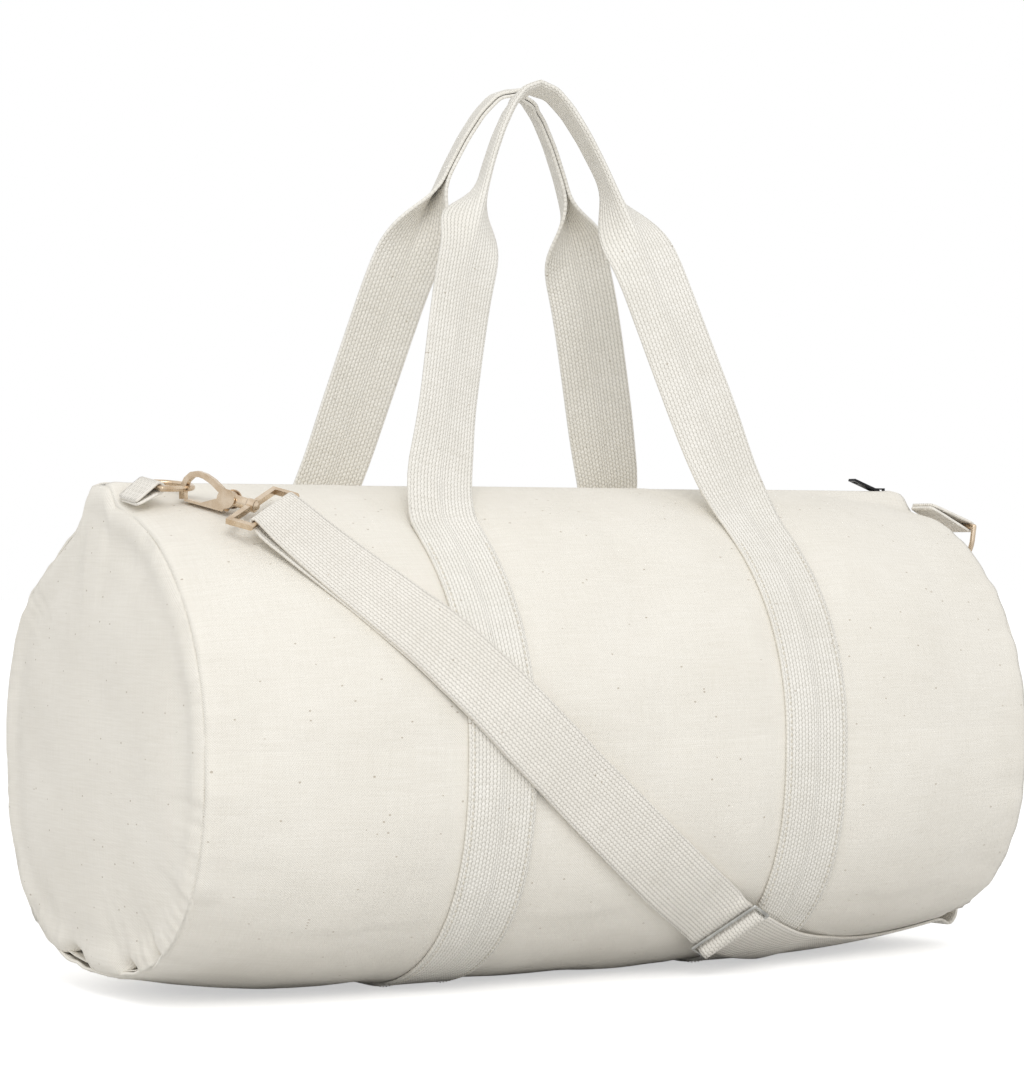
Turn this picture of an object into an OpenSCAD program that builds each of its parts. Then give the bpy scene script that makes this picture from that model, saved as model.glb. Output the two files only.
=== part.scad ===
// Barrel bag of undyed cotton canvas with webbing carry handles, a top zip and a clipped shoulder strap.
// Origin: middle of the resting face. +X runs along the bag, +Y to the rear, +Z up. Millimetres.

/* [Body] */
// Length of the bag between its two end seams
body_l = 516; // [440:1:560]
// Half width of the bag at its middle
body_r = 134; // [120:1:145]
// Depth of the body below its widest line
lower_d = 130; // [115:1:140]
// How far the shoulders drop from the middle to the end seams
shoulder_drop = 10; // [6:0.5:13]
// How far the underside rises from the middle to the end seams
belly_rise = 12; // [6:0.5:16]
// Length of the body's middle that keeps its full girth
straight_l = 244; // [244:2:280]
// Thickness of the canvas
canvas_t = 1.5; // [1:0.1:1.8]
// How far each end panel domes outward
end_dome = 8; // [4:0.5:12]
// Seam allowance turned into the bag at each end
allowance = 10; // [6:0.5:14]
// Thickness of the binding tape on the seam allowance
binding_t = 0.8; // [0.5:0.1:1.2]

/* [Zip] */
// Open width between the two folded canvas edges along the zip
zip_gap = 12; // [11:0.5:16]
// Thickness of the zip tape
tape_t = 0.7; // [0.5:0.1:0.9]
// Half width of the whole zip tape
tape_half = 9.5; // [8:0.5:10]
// Width of one row of zip teeth
teeth_w = 2.3; // [1.8:0.1:2.5]
// Height of the zip teeth
teeth_h = 2; // [1.8:0.1:2.2]
// Channel between the two rows of teeth
teeth_channel = 1.3; // [1.1:0.1:1.6]
// Length of the zip slider
slider_l = 11; // [9.5:0.5:14]
// Length of the pull tab from its pivot
pull_l = 19; // [14:0.5:30]
// Width of the pull tab
pull_w = 6.4; // [5:0.2:9]
// Thickness of the pull tab
pull_t = 1.4; // [1:0.1:1.4]
// Angle at which the pull tab rests above level
pull_rest = 20; // [16:1:40]

/* [Handles] */
// Width of the handle webbing
band_w = 40; // [30:1:44]
// Thickness of the handle webbing
band_t = 2; // [1.6:0.1:2.4]
// Distance of each handle band from the middle of the bag
band_x = 99; // [75:1:99]
// How far both bands sit towards the right end
band_shift = 3; // [0:0.5:8]
// Angle up the side at which a handle leaves the bag
handle_angle = 62; // [54:1:66]
// Height of the handle loops above the resting face
handle_top = 490; // [430:1:540]
// Distance of a grip's fold from the middle plane at its top
grip_y = 23; // [23:0.5:30]

/* [Shoulder strap] */
// Width of the shoulder strap
strap_w = 38; // [32:1:40]
// Thickness of the shoulder strap
strap_t = 1.6; // [1.3:0.1:1.9]
// Distance of the strap slider from the middle of the bag
glide_along = 66; // [55:1:80]
// Distance of the strap slider below the widest line, measured round the bag
glide_below = 111; // [100:1:125]
// Place along the bag where the strap bends on its way to the slider
bend_along = 106; // [98:1:114]
// Height of that bend above the widest line, measured round the bag
bend_above = 12; // [5:1:20]
// Radius of the strap slider's bars
glide_bar_r = 1.1; // [0.9:0.1:1.3]
// Spacing of the strap slider's bars
glide_pitch = 8; // [7.8:0.2:10]

/* [Rings and hooks] */
// Wire diameter of the rings
ring_d = 3; // [2.6:0.1:3.2]
// Inside width of a ring
ring_w = 25; // [24.6:0.2:30]
// Straight depth of a ring before its bow
ring_depth = 8; // [6:0.5:12]
// Width of the webbing tabs that hold the rings
tab_w = 21; // [18:0.5:21]
// Distance of the rings in front of the zip
tab_y = 31.5; // [31:0.5:35]
// Distance of the left hook's swivel from the left end seam
hook_inset = 53.6; // [45:0.2:60]
// Height of the left hook's swivel above the canvas
hook_lift = 9.2; // [9.2:0.2:14]
// Distance of the right hook's swivel outside the right end seam
hook_out = 22; // [21:0.5:30]
// Distance of the right hook's swivel below the top of the bag
hook_hang = 78.5; // [70:1:90]
// Radius of the rivet heads on the hooks
rivet_head_r = 5; // [4.2:0.2:5.6]
// Thickness of a strap loop's bars
loop_bar = 3; // [2.6:0.2:3.4]
// Spacing between the two long bars of a strap loop
loop_depth = 12.6; // [11.6:0.2:16]
// Spacing between the two short bars of a strap loop
loop_w = 45; // [44:0.5:52]

/* [Hidden] */

$fn = 48;

// Colours
canvas_colour = [0.93, 0.91, 0.86];
webbing_colour = [0.92, 0.90, 0.84];
brass_colour = [0.78, 0.68, 0.56];
steel_colour = [0.70, 0.71, 0.70];
zip_colour = [0.08, 0.08, 0.09];

// Clearances
fit_gap = 0.3;
running_gap = 0.1;
cut_over = 1;

// Body
body_half = body_l / 2;
seam_r = body_r - shoulder_drop;
belly_z = band_t + fit_gap;
axis_z = belly_z + lower_d;
top_z = axis_z + body_r;
lower_power = 2.5;
flat_share = 1.019;
ridge_w = 16;
ridge_power = 6;
panel_rings = 24;
turn_deg = 5;
dome_shares = [1, 0.97, 0.9, 0.78, 0.6, 0.4, 0.2];

// Zip, measured down from the top line of the body
tape_drop = 2.6;
tape_z = top_z - tape_drop - tape_t;
teeth_z = tape_z + tape_t / 2 - teeth_h / 2;
tape_half_l = body_half - canvas_t - fit_gap;
stop_l = 1.4;
slider_x = tape_half_l - stop_l - fit_gap - slider_l / 2;
slider_side = 1.35;
slider_half_w = teeth_channel / 2 + teeth_w + fit_gap + slider_side;
slider_plate = 1.2;
wedge_w = teeth_channel - 4 * running_gap;
bridge_w = 2;
bridge_t = 0.9;
bridge_half_l = 4;
pivot_r = 0.7;
slider_top_z = teeth_z + teeth_h + fit_gap;
slider_base_z = teeth_z - fit_gap;
pivot_z = slider_top_z + slider_plate + pivot_r + running_gap;
pivot_x = slider_x - bridge_half_l + bridge_t + pivot_r + 2 * running_gap;
pull_slot_w = bridge_w + 2 * fit_gap;
pull_slot_l = 2 * bridge_half_l - bridge_t;

// Handles
flat_deg = 90;
closed_deg = 3;
spine_half = 0.4;
grip_gap = 0.15;
hinge_r = body_r + fit_gap + band_t + fit_gap + band_t / 2;
hinge_y = hinge_r * cos(handle_angle);
hinge_z = axis_z + hinge_r * sin(handle_angle);
patch_deg = 5;
handle_rise = handle_top - hinge_z;
handle_lean = hinge_y - grip_y;
leg_len = norm([handle_lean, handle_rise]);
leg_rings = 22;
// Half span of a handle loop as shares of band_x, at the heights given as shares of the leg length
span_shares = [1, 0.945, 0.889, 0.822, 0.747, 0.68, 0.606, 0.475, 0.354, 0.27, 0.185, 0.1, 0];
rise_shares = [0, 0.065, 0.135, 0.228, 0.328, 0.42, 0.522, 0.681, 0.81, 0.885, 0.945, 0.985, 1];
// How each leg lies, by [left, right] at the front, then at the rear: turn of the flat leg about its own
// length, turn of its folded grip, and step along the bag
leg_turns = [[-18, 16], [4, 14]];
grip_turns = [[15, 21], [23, 15]];
leg_steps = [[-6, 0], [-2, 6]];
// Where along a leg the webbing is turned, starts folding in half and is folded
turned_share = 0.25;
fold_from_share = 0.54;
fold_to_share = 0.78;

// Hooks, in a frame that runs from the swivel to the nose with the arm on its upper side
hub_x = 13.3;
hub_r = 4.2;
hook_half_w = 2;
arm_t = 3;
nose_x = 40;
arm_rise = 8.3;
collar_r = 3.1;
post_r = 1.5;
pin_r = 1.25;
seat_back = 4.2;
seat_rise = 0.3;
gate_half_w = 3.3;
gate_t = 1.3;
gate_low = 6.9;
tip_back = 3.1;
ear_t = 0.8;
ear_r = 3.4;
head_t = 1;
leaf_t = 0.3;
boss_r = 3.4;
boss_half = 2;
// The arm's middle line: shares of the way from hub to nose, and shares of arm_rise
arm_shares = [[0, 0], [0.2, 0.4], [0.42, 0.78], [0.6, 0.96], [0.75, 1], [0.88, 0.84], [0.965, 0.48], [1, 0],
    [0.992, -0.4], [0.958, -0.76]];

// How the two hooks lie: heading and dip of the way from nose to strap
left_heading = -53.6;
left_dip = 14.4;
left_hook_side = 36.41;
left_bar_heading = 210.8;
left_bar_dip = 20.7;
right_lean = 1.7;
ring_roll = 8;
right_ring_lean = 9;

// Strap
strap_steps = 40;
free_steps = 20;
across = 4;
ramp_l = 12;
lead_l = 75;
weave_half = 14;
sewn_l = 60;
bend_share = 0.36;
lower_off = fit_gap;
upper_off = lower_off + strap_t + fit_gap;
bight_r = loop_bar / 2 + 2 * fit_gap + strap_t / 2;

// Vectors
function unit(v) = v / norm(v);
function square_to(v, n) = unit(v - (v * n) * n);
function mix(a, b, t) = a + (b - a) * t;
function ease(t) = let (u = min(1, max(0, t))) u * u * (3 - 2 * u);
function bezier(p, t) = len(p) == 1 ? p[0]
    : bezier([for (i = [0:len(p) - 2]) mix(p[i], p[i + 1], t)], t);
function quarter_turn(v) = [-v.y, v.x];
function heading(h, dip) = [cos(dip) * cos(h), cos(dip) * sin(h), -sin(dip)];

// Body surface: fall is 0 along the straight middle and 1 at an end seam
function fall(x) = pow(max(0, abs(x) - straight_l / 2) / (body_half - straight_l / 2), 2);
function half_at(x) = body_r - shoulder_drop * fall(x);
function deep_at(x) = lower_d * flat_share - belly_rise * fall(x);
function ridge(x, y) = shoulder_drop * fall(x) * exp(-pow(abs(y) / ridge_w, ridge_power));
function side_y(x, a, off) = -(half_at(x) + off)
    * (sin(a) >= 0 ? cos(a) : sign(cos(a)) * pow(abs(cos(a)), 2 / lower_power));
function side_z(x, a, off) = sin(a) >= 0
    ? axis_z + (half_at(x) + off) * sin(a) + ridge(x, side_y(x, a, off))
    : max(belly_z - off, axis_z - (deep_at(x) + off) * pow(abs(sin(a)), 2 / lower_power));
function side(x, a, off) = [x, side_y(x, a, off), side_z(x, a, off)];

// Length round the middle section against the angle, both from the widest line at the front
arc_deg = 2;
arc_count = 75;
arc_steps = [for (i = [0:arc_count]) norm(side(0, -arc_deg * i, 0) - side(0, -arc_deg * (i + 1), 0))];
arc_below = [for (i = 0, s = 0; i < arc_count; s = s + arc_steps[i], i = i + 1) [-s, -arc_deg * i]];
arc_table = concat([for (i = [arc_count - 1:-1:1]) arc_below[i]], [[0, 0], [body_r * PI / 2, 90]]);
turn_table = [for (p = arc_table) [p[1], p[0]]];
function wrap(x, s, off) = side(x, lookup(s, arc_table), off);

// Solid through rings whose points run over one face and back over the other
module skin(rings, round = false) {
    n = len(rings[0]);
    m = len(rings);
    last = round ? m - 1 : m - 2;
    sides = [for (i = [0:last], j = [0:n - 1])
        let (k = (i + 1) % m, a = i * n + j, b = i * n + (j + 1) % n, c = k * n + (j + 1) % n, d = k * n + j)
        each [[c, b, a], [d, c, a]]];
    caps = round ? [] : [for (j = [0:n / 2 - 2], k = [0, 1])
        let (o = k * (m - 1) * n, a = o + j, b = o + j + 1, c = o + n - 2 - j, d = o + n - 1 - j)
        each k == 0 ? [[a, b, c], [a, c, d]] : [[c, b, a], [d, c, a]]];
    polyhedron([for (r = rings) each r], concat(sides, caps), convexity = 8);
}

// Solid through closed loops, with a fan to a point at both ends
module domed(loops, first, final) {
    n = len(loops[0]);
    m = len(loops);
    sides = [for (i = [0:m - 2], j = [0:n - 1])
        let (a = i * n + j, b = i * n + (j + 1) % n, c = (i + 1) * n + (j + 1) % n, d = (i + 1) * n + j)
        each [[c, b, a], [d, c, a]]];
    fans = [for (j = [0:n - 1]) each [[j, (j + 1) % n, m * n],
        [(m - 1) * n + (j + 1) % n, (m - 1) * n + j, m * n + 1]]];
    polyhedron(concat([for (r = loops) each r], [first, final]), concat(sides, fans), convexity = 8);
}

// Outline of a strip of width w along a flat path
function strip(path, w) = let (n = len(path) - 1,
    turns = [for (i = [0:n]) quarter_turn(unit(path[min(n, i + 1)] - path[max(0, i - 1)]))])
    concat([for (i = [0:n]) path[i] + turns[i] * w / 2], [for (i = [n:-1:0]) path[i] - turns[i] * w / 2]);
function arc(c, r, from, to, steps) = [for (i = [0:steps])
    c + r * [cos(mix(from, to, i / steps)), sin(mix(from, to, i / steps))]];

// Moves children to a frame given by its origin and its three directions
module placed(o, f)
    multmatrix([[f[0].x, f[1].x, f[2].x, o.x], [f[0].y, f[1].y, f[2].y, o.y], [f[0].z, f[1].z, f[2].z, o.z],
        [0, 0, 0, 1]]) children();
function in_frame(o, f, p) = o + f[0] * p.x + f[1] * p.y + f[2] * p.z;

// Bars: one along the second axis with its middle at the origin, one along the first axis from the origin
module cross_bar(r, l) rotate([90, 0, 0]) cylinder(r = r, h = l, center = true);
module long_bar(r, l) rotate([0, 90, 0]) cylinder(r = r, h = l);
module slab(outline, l) rotate([90, 0, 0]) linear_extrude(height = l, center = true) polygon(outline);

// Canvas tube, open along the top for the zip
module main_panel() {
    half = body_half - fit_gap;
    color(canvas_colour) skin([for (i = [0:panel_rings])
        let (x = mix(-half, half, i / panel_rings), a0 = acos(zip_gap / 2 / half_at(x)),
            turns = concat([a0], [for (a = [90 - turn_deg:-turn_deg:-270 + turn_deg]) a], [-180 - a0]))
        concat([for (a = turns) side(x, a, 0)],
            [for (j = [len(turns) - 1:-1:0]) side(x, turns[j], -canvas_t)])]);
}

// Domed end panel whose allowance turns into the tube, but not under the zip; way is 1 at the right end
module end_panel(way) {
    inset = canvas_t + fit_gap;
    edge = inset + canvas_t;
    turns = [for (a = [90:-turn_deg:-270 + turn_deg]) a];
    function spot(x, a, k, off) = let (p = side(body_half, a, off))
        [way * x, p.y * k, axis_z + (p.z - axis_z) * k];
    function turned(a) = abs(side_y(body_half, a, 0)) < tape_half + seam_r * sin(turn_deg) && sin(a) > 0
        ? body_half - fit_gap : body_half - allowance;
    function bulge(k) = end_dome * (1 - pow(k, lower_power));
    inner = [for (i = [len(dome_shares) - 1:-1:0]) let (k = dome_shares[i])
        [for (a = turns) spot(body_half + bulge(k) - canvas_t * (i == 0 ? 1 : 1 / 2), a, k, -edge)]];
    outer = [for (i = [0:len(dome_shares) - 1]) let (k = dome_shares[i])
        [for (a = turns) spot(body_half + bulge(k) + (i == 0 ? 0 : canvas_t / 2), a, k, 0)]];
    flange = [[for (a = turns) spot(min(turned(a), body_half - canvas_t - fit_gap / 3), a, 1, -edge)],
        [for (a = turns) spot(min(turned(a), body_half - canvas_t), a, 1, -inset)],
        [for (a = turns) spot(body_half, a, 1, -inset)]];
    loops = concat(inner, flange, outer);
    tip = body_half + end_dome;
    color(canvas_colour) domed(way > 0 ? loops : [for (r = loops) [for (j = [len(r) - 1:-1:0]) r[j]]],
        [way * (tip - canvas_t / 2), 0, axis_z], [way * (tip + canvas_t / 2), 0, axis_z]);
}
module left_end_panel() end_panel(-1);
module right_end_panel() end_panel(1);

// Binding tape round the inside of the turned allowance, open under the zip
module seam_binding(way) {
    near = 2 * canvas_t + 2 * fit_gap;
    x_in = way * (body_half - allowance);
    x_out = way * (body_half - canvas_t - fit_gap);
    function spot(x, a, off) = let (p = side(body_half, a, off)) [x, p.y, p.z];
    turns = [for (a = [90 - 2 * turn_deg:-turn_deg:-270 + 2 * turn_deg]) a];
    rings = [for (a = turns) let (r = [spot(x_in, a, -near), spot(x_out, a, -near),
        spot(x_out, a, -near - binding_t), spot(x_in, a, -near - binding_t)])
        way > 0 ? [r[1], r[0], r[3], r[2]] : r];
    color(canvas_colour) skin(rings);
}
module left_seam_binding() seam_binding(-1);
module right_seam_binding() seam_binding(1);

// One half of the zip tape and its row of teeth; face is -1 at the front
module zip_tape(face) {
    near = teeth_channel / 2 + teeth_w;
    color(zip_colour) translate([-tape_half_l, face > 0 ? near : -tape_half, tape_z])
        cube([2 * tape_half_l, tape_half - near, tape_t]);
}
module zip_tape_front() zip_tape(-1);
module zip_tape_rear() zip_tape(1);

module zip_teeth(face) {
    half = tape_half_l - stop_l - fit_gap;
    color(zip_colour)
        translate([-half, face > 0 ? teeth_channel / 2 : -teeth_channel / 2 - teeth_w, teeth_z])
        cube([2 * half, teeth_w, teeth_h]);
}
module zip_teeth_front() zip_teeth(-1);
module zip_teeth_rear() zip_teeth(1);

// Stops across the chain at its two ends, between the tapes
module zip_stop(way) {
    half = teeth_channel / 2 + teeth_w;
    color(zip_colour) translate([way > 0 ? tape_half_l - stop_l : -tape_half_l, -half, teeth_z])
        cube([stop_l, 2 * half, teeth_h]);
}
module zip_top_stop() zip_stop(1);
module zip_bottom_stop() zip_stop(-1);

// Two plates joined by a wedge in the channel, with a bridge for the pull
module zip_slider() {
    half_l = slider_l / 2;
    lip_in = slider_half_w - slider_side;
    arch_h = 2 * pivot_r + 2 * running_gap;
    color(zip_colour) translate([slider_x, 0, slider_top_z]) {
        translate([-half_l, -slider_half_w, 0]) cube([slider_l, 2 * slider_half_w, slider_plate]);
        translate([-half_l, -slider_half_w, slider_base_z - slider_plate - slider_top_z])
            cube([slider_l, 2 * slider_half_w, slider_plate]);
        translate([half_l / 2, -wedge_w / 2, slider_base_z - slider_plate / 2 - slider_top_z])
            cube([half_l / 2, wedge_w, slider_top_z - slider_base_z + slider_plate]);
        for (s = [-1, 1])
            translate([-half_l, s > 0 ? lip_in : -slider_half_w, tape_z + tape_t + fit_gap - slider_top_z])
                cube([slider_l, slider_side, slider_top_z + slider_plate / 2 - tape_z - tape_t - fit_gap]);
        difference() {
            translate([-bridge_half_l, -bridge_w / 2, slider_plate / 2])
                cube([2 * bridge_half_l, bridge_w, slider_plate / 2 + arch_h + bridge_t]);
            translate([-bridge_half_l + bridge_t, -bridge_w, slider_plate])
                cube([2 * (bridge_half_l - bridge_t), 2 * bridge_w, arch_h]);
        }
    }
}

// Pull tab on a cross pivot under the slider's bridge
module zip_pull() color(zip_colour) translate([pivot_x, 0, pivot_z]) rotate([0, pull_rest, 0]) {
    cross_bar(pivot_r, pull_w);
    difference() {
        translate([-pull_l, -pull_w / 2, -pull_t / 2]) cube([pull_l, pull_w, pull_t]);
        translate([-pull_slot_l, -pull_slot_w / 2, -pull_t])
            cube([pull_slot_l + cut_over, pull_slot_w, 2 * pull_t]);
        translate([-pull_l + pull_w / 2, 0, -pull_t]) cylinder(r = pull_w / 4, h = 2 * pull_t);
    }
}

// Handle webbing sewn round the underside of the bag
module belly_band(x) {
    end = handle_angle + patch_deg;
    count = 78;
    turns = [for (i = [0:count]) mix(end, -180 - end, i / count)];
    inner = [for (a = turns) let (p = side(0, a, fit_gap)) [p.y, p.z]];
    outer = [for (i = [count:-1:0]) let (p = side(0, turns[i], fit_gap + band_t)) [p.y, p.z]];
    color(webbing_colour) placed([x - band_w / 2, 0, 0], [[0, 1, 0], [0, 0, 1], [1, 0, 0]])
        linear_extrude(height = band_w) polygon(concat(inner, outer));
}
module left_belly_band() belly_band(band_shift - band_x);
module right_belly_band() belly_band(band_shift + band_x);

// Middle line of a handle in its leaning plane, from the left foot over the top to the right foot
span_table = [for (i = [0:len(rise_shares) - 1]) [rise_shares[i], span_shares[i]]];
function by_leg(table, u, face) = let (row = table[face > 0 ? 1 : 0]) mix(row.x, row.y, (u + 1) / 2);
function crown(t, face) = let (u = 2 * t - 1, v = 1 - pow(abs(u), 2))
    [sign(u) * band_x * lookup(v, span_table) + band_shift * (1 - v)
        + by_leg(leg_steps, u, face) * ease(v / fold_from_share), v * leg_len];
function folded(v) = ease((v - fold_from_share) / (fold_to_share - fold_from_share));
function leg_turn(u, v, face) = mix(by_leg(leg_turns, u, face) * ease(v / turned_share),
    by_leg(grip_turns, u, face), folded(v));

// One ring of a handle: both halves of the webbing about its middle fold; face is -1 at the front
function handle_ring(t, face) = let (
    p = crown(t, face), ahead = crown(min(1, t + 0.01), face) - crown(max(0, t - 0.01), face),
    up = unit([0, -face * handle_lean, handle_rise]), foot = p.y > 0 ? 1 : 0,
    v = p.y / leg_len, turn = leg_turn(2 * t - 1, v, face),
    way = unit([ahead.x * foot, 0, 0] + up * ahead.y),
    wide = unit(cross(way, [-face * handle_rise * sin(turn), -face * handle_rise * cos(turn), -handle_lean])),
    inward = cross(wide, way),
    o = [p.x, face * hinge_y, hinge_z] + up * p.y,
    half = mix(flat_deg, closed_deg, folded(v)), h = band_t / 2, w = band_w / 2 - spine_half,
    push = spine_half + cos(half) * (h + grip_gap - spine_half))
    [for (k = [[1, 1, 1], [1, 0, 1], [-1, 0, 1], [-1, 1, 1], [-1, 1, -1], [-1, 0, -1], [1, 0, -1], [1, 1, -1]])
        o + k[0] * wide * push + (k[0] * wide * sin(half) + inward * cos(half)) * k[1] * w
            + (k[0] * wide * cos(half) - inward * sin(half)) * k[2] * h
            + inward * cos(half) * band_t * (1 - k[1]) * (1 - k[2]) / 2];

// A carry handle: two flat legs whose webbing folds in half into the grip
module carry_handle(face)
    color(webbing_colour) skin([for (i = [0:2 * leg_rings]) handle_ring(i / leg_rings / 2, face)]);
module front_handle() carry_handle(-1);
module rear_handle() carry_handle(1);

// Frames of the hooks: the first direction runs to the nose, the third to the side of the arm
function hook_frame(down, up) = let (ez = square_to(up, down)) [-down, cross(ez, -down), ez];
function loop_frame(down, bar) = let (ey = square_to(bar, down)) [-down, ey, cross(-down, ey)];
left_down = heading(left_heading, left_dip);
right_down = [-sin(right_lean), 0, -cos(right_lean)];
left_hook_x = body_half - hook_inset;
left_angle = acos((tab_y + left_hook_side) / (half_at(left_hook_x) + hook_lift));
left_swivel = side(-left_hook_x, left_angle, hook_lift);
right_swivel = [body_half + hook_out, -tab_y, top_z - hook_hang];
left_frame = hook_frame(left_down, [0, 0, 1]);
right_frame = hook_frame(right_down, [1, 0, 0]);
left_loop = loop_frame(left_down, heading(left_bar_heading, left_bar_dip));
right_loop = loop_frame(right_down, [0, -1, 0]);
left_bar_o = left_swivel + left_down * loop_depth;
right_bar_o = right_swivel + right_down * loop_depth;
left_seat = in_frame(left_swivel, left_frame, [nose_x - seat_back, 0, seat_rise]);
right_seat = in_frame(right_swivel, right_frame, [nose_x - seat_back, 0, seat_rise]);

// Rings: the bow passes through its hook and the straight bar lies in its tab
bow_r = ring_w / 2 + ring_d / 2;
left_ring_frame = [[1, 0, 0], [0, cos(ring_roll), sin(ring_roll)], [0, -sin(ring_roll), cos(ring_roll)]];
left_reach = (left_seat.y + tab_y) / cos(ring_roll);
left_ring_o = left_seat - left_ring_frame[1] * left_reach
    - left_ring_frame[0] * (ring_depth + sqrt(bow_r * bow_r - left_reach * left_reach));
right_pull = [-sin(right_ring_lean), 0, -cos(right_ring_lean)];
right_ring_frame = [right_pull, [0, -1, 0], cross(right_pull, [0, -1, 0])];
right_ring_o = right_seat - right_pull * (ring_depth + bow_r);

module ring_shape() {
    r = ring_d / 2;
    cross_bar(r, 2 * bow_r);
    for (s = [-1, 1]) translate([0, s * bow_r, 0]) {
        sphere(r = r);
        long_bar(r, ring_depth);
    }
    translate([ring_depth, 0, 0]) rotate([0, 0, -90])
        rotate_extrude(angle = 180) translate([bow_r, 0]) circle(r = r);
}
module left_ring() color(brass_colour) placed(left_ring_o, left_ring_frame) ring_shape();
module right_ring() color(brass_colour) placed(right_ring_o, right_ring_frame) ring_shape();

// Webbing tab folded round a ring's straight bar; foot is its sewn end, along and up from the bar
tab_spread = strap_t + fit_gap / 2;
module tab_shape(foot) {
    lean = atan2(foot.y, foot.x);
    side_step = quarter_turn(unit(foot)) * tab_spread / 2;
    path = concat([foot + side_step], arc([0, 0], ring_d / 2 + fit_gap + strap_t / 2, lean + 85, lean + 275, 14),
        [foot - side_step]);
    slab(strip(path, strap_t), tab_w);
}
tab_top = axis_z + sqrt(pow(seam_r, 2) - pow(tab_y - tab_w / 2, 2)) + 3 * fit_gap + tab_spread;
left_foot_step = [tab_spread - body_half, -tab_y, tab_top + 2 * fit_gap - tab_w / 2 * sin(ring_roll)] - left_ring_o;
left_foot = [left_foot_step * left_ring_frame[0], left_foot_step * left_ring_frame[2]];
right_foot = [body_half - tab_spread - right_ring_o.x, tab_top + fit_gap - right_ring_o.z];
module left_tab() color(webbing_colour) placed(left_ring_o, left_ring_frame) tab_shape(left_foot);
module right_tab() color(webbing_colour) translate(right_ring_o) tab_shape(right_foot);

// Hook: hub, collar for the swivel and a flat arm that bends down to the nose
module hook_shape() difference() {
    union() {
        slab(strip([for (p = arm_shares) [mix(hub_x, nose_x, p.x), arm_rise * p.y]], arm_t), 2 * hook_half_w);
        translate([hub_x, 0, 0]) cross_bar(hub_r, 2 * hook_half_w + running_gap);
        translate([boss_half + fit_gap, 0, 0]) long_bar(collar_r, hub_x - ear_r - boss_half - 2 * fit_gap);
    }
    translate([hub_x, 0, 0]) cross_bar(pin_r + running_gap, 4 * hook_half_w);
    long_bar(post_r + running_gap, hub_x - hub_r - running_gap);
}
module left_hook() color(brass_colour) placed(left_swivel, left_frame) hook_shape();
module right_hook() color(brass_colour) placed(right_swivel, right_frame) hook_shape();

// Gate: a flat lever with two ears on the rivet
module gate_shape() difference() {
    root_x = hub_x + ear_r / 2;
    tip_x = nose_x - tip_back;
    ear = [[hub_x - ear_r / 2, -ear_r / 2], [hub_x + ear_r, 0], [mix(hub_x, tip_x, 0.6), gate_t - gate_low],
        [mix(hub_x, tip_x, 0.6), -gate_low], [hub_x + ear_r / 4, -gate_low]];
    union() {
        translate([root_x, -gate_half_w, -gate_low]) cube([tip_x - root_x, 2 * gate_half_w, gate_t]);
        for (s = [-1, 1]) translate([0, s * (gate_half_w - ear_t / 2), 0]) {
            slab(ear, ear_t);
            translate([hub_x, 0, 0]) cross_bar(ear_r, ear_t);
        }
    }
    translate([hub_x, 0, 0]) cross_bar(pin_r + running_gap, 4 * gate_half_w);
}
module left_gate() color(brass_colour) placed(left_swivel, left_frame) gate_shape();
module right_gate() color(brass_colour) placed(right_swivel, right_frame) gate_shape();

// Rivet through hub and gate, with a flat round head on each side
module gate_rivet_shape() translate([hub_x, 0, 0]) {
    head_y = gate_half_w + fit_gap;
    cross_bar(pin_r, 2 * head_y + head_t);
    for (s = [-1, 1]) translate([0, s * (head_y + head_t / 2), 0]) cross_bar(rivet_head_r, head_t);
}
module left_gate_rivet() color(brass_colour) placed(left_swivel, left_frame) gate_rivet_shape();
module right_gate_rivet() color(brass_colour) placed(right_swivel, right_frame) gate_rivet_shape();

// Leaf spring between the hub and the gate
module gate_spring_shape() {
    near_z = -hub_r - fit_gap - leaf_t / 2;
    far_z = gate_t - gate_low + fit_gap + leaf_t / 2;
    slab(strip([[hub_x - hub_r / 3, near_z], [hub_x + hub_r / 3, near_z], [hub_x + 2 * hub_r, far_z],
        [hub_x + 3 * hub_r, far_z]], leaf_t), 2 * hook_half_w);
}
module left_gate_spring() color(steel_colour) placed(left_swivel, left_frame) gate_spring_shape();
module right_gate_spring() color(steel_colour) placed(right_swivel, right_frame) gate_spring_shape();

// Swivel rivet: its post turns in the hook's collar and its head lies inside the strap loop
module swivel_rivet_shape() {
    back = -boss_half - running_gap;
    translate([back, 0, 0]) long_bar(post_r, hub_x - hub_r - 4 * running_gap - back);
    translate([back, 0, 0]) rotate([0, -90, 0]) cylinder(r1 = 2 * post_r, r2 = post_r, h = post_r);
}
module left_swivel_rivet() color(brass_colour) placed(left_swivel, left_frame) swivel_rivet_shape();
module right_swivel_rivet() color(brass_colour) placed(right_swivel, right_frame) swivel_rivet_shape();

// Strap loop: a rectangle of bar with a bored boss for the swivel
module strap_loop_shape() difference() {
    h = loop_bar / 2;
    union() {
        translate([-h, -loop_w / 2 - h, -h]) cube([loop_bar, loop_w + loop_bar, loop_bar]);
        for (s = [-1, 1]) translate([-loop_depth, s * loop_w / 2 - h, -h]) cube([loop_depth, loop_bar, loop_bar]);
        translate([-loop_depth, 0, 0]) cross_bar(h, loop_w + loop_bar);
        translate([-boss_half, 0, 0]) long_bar(boss_r, 2 * boss_half);
    }
    translate([-2 * boss_half, 0, 0]) long_bar(post_r + running_gap, 4 * boss_half);
}
module left_strap_loop() color(brass_colour) placed(left_swivel, left_loop) strap_loop_shape();
module right_strap_loop() color(brass_colour) placed(right_swivel, right_loop) strap_loop_shape();

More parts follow.
